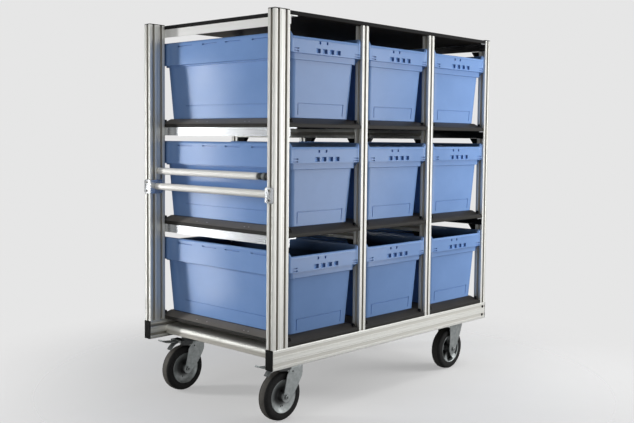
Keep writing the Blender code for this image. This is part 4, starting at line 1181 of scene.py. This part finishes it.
PEDAL = mm([(4, 0), (-16, 1), (-34, 3), (-52, 5), (-66, 7), (-78, 11), (-88, 15), (-93, 18)])
PEDAL_WIDTHS = mm([34] * 6 + [31, 26])
SHOE = mm([(-4, -4), (-14, -6), (-24, -12), (-33, -19), (-40, -26.5), (-44, -31.5)])
SHOE_WIDTHS = mm([26] * len(SHOE))
BARREL_R = 0.0055
BARREL = mm([(4, -32.5), (5.5, -31.8), (5.5, 31.8), (4, 32.5)])
for corner in BRAKED:
    name = "brake_pedal_" + corner
    low, high = BOX[name]
    pivot = (high[0] - BARREL_R, (low[1] + high[1]) / 2, low[2] + BARREL_R)
    parts = [
        # painted shade: light on the front pedal, heavier on the rear pedal and on the shoes
        strip(PEDAL, PEDAL_WIDTHS, 0.0060, 0.15 if "front" in corner else 0.60),
        strip(SHOE, SHOE_WIDTHS, 0.0050, 0.60),
        turned(BARREL, (0, 0, 0), "y", 20),
    ]
    parts = [moved(part, pivot) for part in parts]
    make_piece(name + "_pressed", parts, zinc, "pedal_" + corner, 40, name)
print("pedals:", len(BRAKED), " pivot height:", round(float(pivot[2]), 4))

# %% [markdown]
# ## Push bars
# Two satin tubes cross the left end. They are turned pieces with rounded ends. The upper one
# stops short of the near post, and a dark fitting of two rings carries it there. The lower one
# sits between two bent plates with large screws.

# %% Tubes
BAR_R, UPPER_START, LOWER_DROP = 0.0150, -0.272, 0.005
upper, lower = BOX["push_bar_upper"], BOX["push_bar_lower"]
INNER_FACE, LOWER_END = float(upper[1][1]), float(lower[1][1])
upper_x, upper_z = (sum(upper) / 2)[[0, 2]]
lower_x, lower_z = (sum(lower) / 2)[[0, 2]] - [0, LOWER_DROP]
TUBE_END = [(0.004, 0), (BAR_R - 0.003, 0), (BAR_R - 0.0009, 0.0009), (BAR_R, 0.003)]


def push_tube(name, x, z, start, end):
    """A closed tube along y whose two ends are rounded by 3 mm."""
    profile = [(radius, start + along) for radius, along in TUBE_END]
    profile += [(BAR_R, y) for y in np.linspace(start + 0.02, end - 0.02, 12)]
    profile += [(radius, end - along) for radius, along in TUBE_END[::-1]]
    parts = [turned(profile, (x, 0, z), "y", 48)]
    make_piece(name + "_tube", parts, satin_tube, replaces=name)


push_tube("push_bar_upper", upper_x, upper_z, UPPER_START, INNER_FACE)
push_tube("push_bar_lower", lower_x, lower_z, -LOWER_END, LOWER_END)
print("tubes of radius", BAR_R, "to", round(INNER_FACE, 4), "and", round(LOWER_END, 4))

# %% The upper tube's fitting
SOCKET = [(4, -270), (9.5, -272.2), (12.8, -274), (13.5, -280), (13.5, -287), (12, -291.5)]
NECK = [(8.8, -294), (8.8, -297.5)]
COLLAR = [(13.5, -299), (15.8, -301), (15.8, -311), (14, -314)]
STEM = [(11, -316), (11, -364), (15, -365.5), (15, -1000 * INNER_FACE)]
FITTING = mm(SOCKET + NECK + COLLAR + STEM)
FITTING_GLOOM = [0.9] * 6 + [0.5, 0.3] + [0.2, 0.35, 0.35, 0.6] + [0.9, 0.9, 0.4, 0.4]
rings = turned(FITTING, (upper_x, 0, upper_z), "y", 36, shade=FITTING_GLOOM)
make_piece("upper_bar_fitting", [rings], zinc)
print("fitting:", len(FITTING), "points")

# %% Bent plates with their screws
BENT, SCREW_Y = 0.004, 0.3890
SCREW_SIZES = [(0.0185, 0.0068, 0.0032), (0.0052, 0.0026, 0.0006)]
for end, side in (("front", -1), ("rear", 1)):
    name = "bar_bracket_" + end
    low, high = BOX[name]
    middle_z = (low[2] + high[2]) / 2
    plate = rounded_box(low, (low[0] + BENT, *high[1:]), "x", 0.007, 0.0006)
    inner_y = min(low[1], high[1], key=abs)
    leg_low, leg_high = sorted((inner_y, inner_y - side * BENT))
    leg_low, leg_high = (low[0] + 0.0005, leg_low, low[2]), (high[0], leg_high, high[2])
    leg = rounded_box(leg_low, leg_high, "y", 0.004, 0.0006)
    make_piece(name + "_bent", [plate, leg], bright_plate, replaces=name)
    screws = [
        socket_screw((low[0], side * SCREW_Y, middle_z + up), "x", -1, *size)
        for apart, *size in SCREW_SIZES
        for up in (apart, -apart)
    ]
    make_piece(name + "_screws", screws, steel)
print("screws in each bent plate:", len(screws))

# %% [markdown]
# ## Caps, gussets and beam screws
# Black plastic closes every open end of profile. Small dark gussets stiffen the corners under the
# shelf bars and under the right-hand angles, and dark screws sit near the right end of the beams.

# %% Caps
CAP = 0.0035
caps = []
for name, (low, high) in BOX.items():
    if name.startswith("corner_post"):
        cap = (*low[:2], high[2]), (*high[:2], high[2] + CAP)
        caps.append(rounded_box(*cap, "z", 0.003, 0.0012))
    if name.startswith("base_beam"):
        for x in (low[0] - CAP, high[0]):
            cap = (x, *low[1:]), (x + CAP, *high[1:])
            caps.append(rounded_box(*cap, "x", 0.003, 0.0012))
make_piece("end_caps", caps, black_plastic)
print("caps:", len(caps))

# %% Gussets
GUSSET_HALF, GUSSET_OUT, GUSSET_DOWN = 0.0120, 0.045, 0.057
OUT = np.array([GAP, GAP, 0.006, GUSSET_OUT - 0.001, GUSSET_OUT, GUSSET_OUT])
DOWN = np.array([GAP, GUSSET_DOWN, GUSSET_DOWN, 0.005, 0.004, GAP])
right_post_x = BOX["corner_post_front_right"][0][0] + MODULE / 2
gussets = []
for name, (low, high) in BOX.items():
    if name.startswith(("shelf_bar", "end_angle_right")):
        x = (low[0] + high[0]) / 2 if name.startswith("shelf_bar") else right_post_x
        for side in (-1, 1):
            wedge = np.column_stack([side * (INNER_FACE - OUT), low[2] - DOWN])
            gussets.append(pushed(wedge, x - GUSSET_HALF, x + GUSSET_HALF, "x"))
make_piece("corner_gussets", gussets, black_plastic)
print("gussets:", len(gussets))

# %% Screws in the beams
SUNK = 0.0010
beam_low, beam_high = BOX["base_beam_front"]
screws = []
for up, back in ((0.060, 0.0195), (0.020, 0.0225)):
    for face, out in ((beam_low[1], -1), (-beam_low[1], 1)):
        spot = (beam_high[0] - back, face - SUNK * out, beam_low[2] + up)
        screws.append(socket_screw(spot, "y", out, 0.0070, 0.0024))
make_piece("beam_screws", screws, black_plastic)
print("beam screws:", len(screws))

# %% [markdown]
# ## Floor, backdrop and light
# The photograph is a plain cut-out on pale grey. The floor is a pale disc that keeps the shadow
# and fades into the world's colour, so no horizon shows. Only the camera sees it that pale: for
# reflections and bounced light it is darker. What metal mirrors of the world is grey in front of
# the object, and darker behind it and below the horizon. The light itself comes from the world
# and a few large soft lamps.

# %% Floor
BACKDROP = (*grey(0.791), 1)
FLOOR_RADIUS = 4
turn = np.linspace(0, 2 * np.pi, 64, endpoint=False)
rim = FLOOR_RADIUS * np.column_stack([np.cos(turn), np.sin(turn), 0 * turn])
ground = bpy.data.meshes.new("floor")
ground.from_pydata(rim.tolist(), [], [list(range(len(rim)))])
floor = bpy.data.objects.new("floor", ground)
bpy.context.scene.collection.objects.link(floor)
material, tree, shader = new_finish("pale_floor", grey(0.80), 0.9, specular=0.1)
pale = ramp(tree, noise(tree, (3, 3, 3)), (0.3, 0.79), (0.7, 0.81))
looked_at = add(tree, "ShaderNodeLightPath", "Is Camera Ray")
paint(tree, shader, blend(tree, looked_at, grey(0.30), pale))
where = add(tree, "ShaderNodeTexCoord", "Object")
reach = add(tree, "ShaderNodeVectorMath", "Value", {0: where}, operation="LENGTH")
fade = map_range(tree, reach, 0.70, 2.00, 0.45, 1.0, "SMOOTHSTEP")
clear = add(tree, "ShaderNodeBsdfTransparent", "BSDF")
faded = {"Fac": fade, 1: shader.outputs["BSDF"], 2: clear}
faded = add(tree, "ShaderNodeMixShader", "Shader", faded)
tree.links.new(faded, tree.nodes["Material Output"].inputs["Surface"])
ground.materials.append(material)
floor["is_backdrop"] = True
print("floor radius:", FLOOR_RADIUS)

# %% World
world = bpy.data.worlds.new("studio")
bpy.context.scene.world = world
world.use_nodes = True
tree = world.node_tree
tree.nodes.remove(tree.nodes["Background"])
direction = add(tree, "ShaderNodeTexCoord", "Generated")


def falling(away, in_front, behind):
    """A strength that falls smoothly from in front of the object to behind it, along away."""
    both = {0: direction, 1: away}
    along = add(tree, "ShaderNodeVectorMath", "Value", both, operation="DOT_PRODUCT")
    return map_range(tree, along, 0.05, 0.75, in_front, behind, "SMOOTHSTEP")


def backdrop(colour, strength):
    """A plain colour all round, whose strength may change with the direction."""
    plain = {"Color": colour, "Strength": strength}
    return add(tree, "ShaderNodeBackground", "Background", plain)


height = add(tree, "ShaderNodeSeparateXYZ", "Z", {0: direction})
below = map_range(tree, height, -0.45, -0.08, 0.45, 1.0)
glow = backdrop((0.97, 0.97, 1.0, 1), falling((0.94, 0.34, 0.0), 0.17, 0.04))
mirror = backdrop(BACKDROP, multiply(tree, falling((0.45, 0.89, 0.0), 1.0, 0.10), below))
seen = tree.nodes.new("ShaderNodeLightPath").outputs
direct = {0: seen["Is Camera Ray"], 1: seen["Is Transmission Ray"]}
direct = add(tree, "ShaderNodeMath", "Value", direct, operation="MAXIMUM")
lit = {"Fac": seen["Is Glossy Ray"], 1: glow, 2: mirror}
lit = add(tree, "ShaderNodeMixShader", "Shader", lit)
whole_world = {"Fac": direct, 1: lit, 2: backdrop(BACKDROP, 1.0)}
whole_world = add(tree, "ShaderNodeMixShader", "Shader", whole_world)
tree.links.new(whole_world, tree.nodes["World Output"].inputs["Surface"])
print("world nodes:", len(tree.nodes))


# %% Lamps
def soft_lamp(name, place, target, width, height, power, mirrored=True):
    """A large area lamp at place that looks at target; unmirrored, it gives only matt light."""
    data = bpy.data.lights.new(name, "AREA")
    data.shape = "RECTANGLE"
    data.size, data.size_y = width, height
    data.energy = power
    lamp = bpy.data.objects.new(name, data)
    bpy.context.scene.collection.objects.link(lamp)
    lamp.location = place
    turn = (Vector(target) - Vector(place)).to_track_quat("-Z", "Y")
    lamp.rotation_euler = turn.to_euler()
    lamp.visible_camera = False
    lamp.visible_glossy = mirrored
    return lamp


soft_lamp("softbox_front_right", (1.75, -2.42, 1.08), (-0.15, -0.2, 1.0), 1.0, 2.0, 17.5)
soft_lamp("key_front_right", (2.05, -1.75, 1.35), (0.2, -0.3, 1.1), 0.9, 1.6, 43, mirrored=False)
soft_lamp("strip_rear_left", (-1.68, 1.42, 0.76), (-0.65, 0.15, 0.76), 0.16, 1.6, 6.6)
soft_lamp("key_rear_left", (-3.1, 3.3, 1.3), (-0.6, 0.1, 1.0), 0.6, 2.2, 112, mirrored=False)
soft_lamp("overhead", (1.2, -1.6, 4.0), (0, -0.3, 1.0), 1.6, 1.2, 48, mirrored=False)
soft_lamp("fill_left", (-3.4, 0.5, 1.2), (-0.65, 0, 1.0), 1.2, 1.8, 15, mirrored=False)
card = soft_lamp("card_behind", (1.5, 2.9, 1.2), (-0.3, 0.0, 1.3), 1.6, 0.9, 3.2)
card.data.color = (1.0, 0.95, 0.88)
card.visible_diffuse = False
print("lamps:", len(bpy.data.lights))

# %% Finish
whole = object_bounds()
boxes = {"cad": [list(corner) for corner in cad_box], "visual": [list(corner) for corner in whole]}
for key, box in boxes.items():
    print(key, [[round(value, 4) for value in corner] for corner in box])
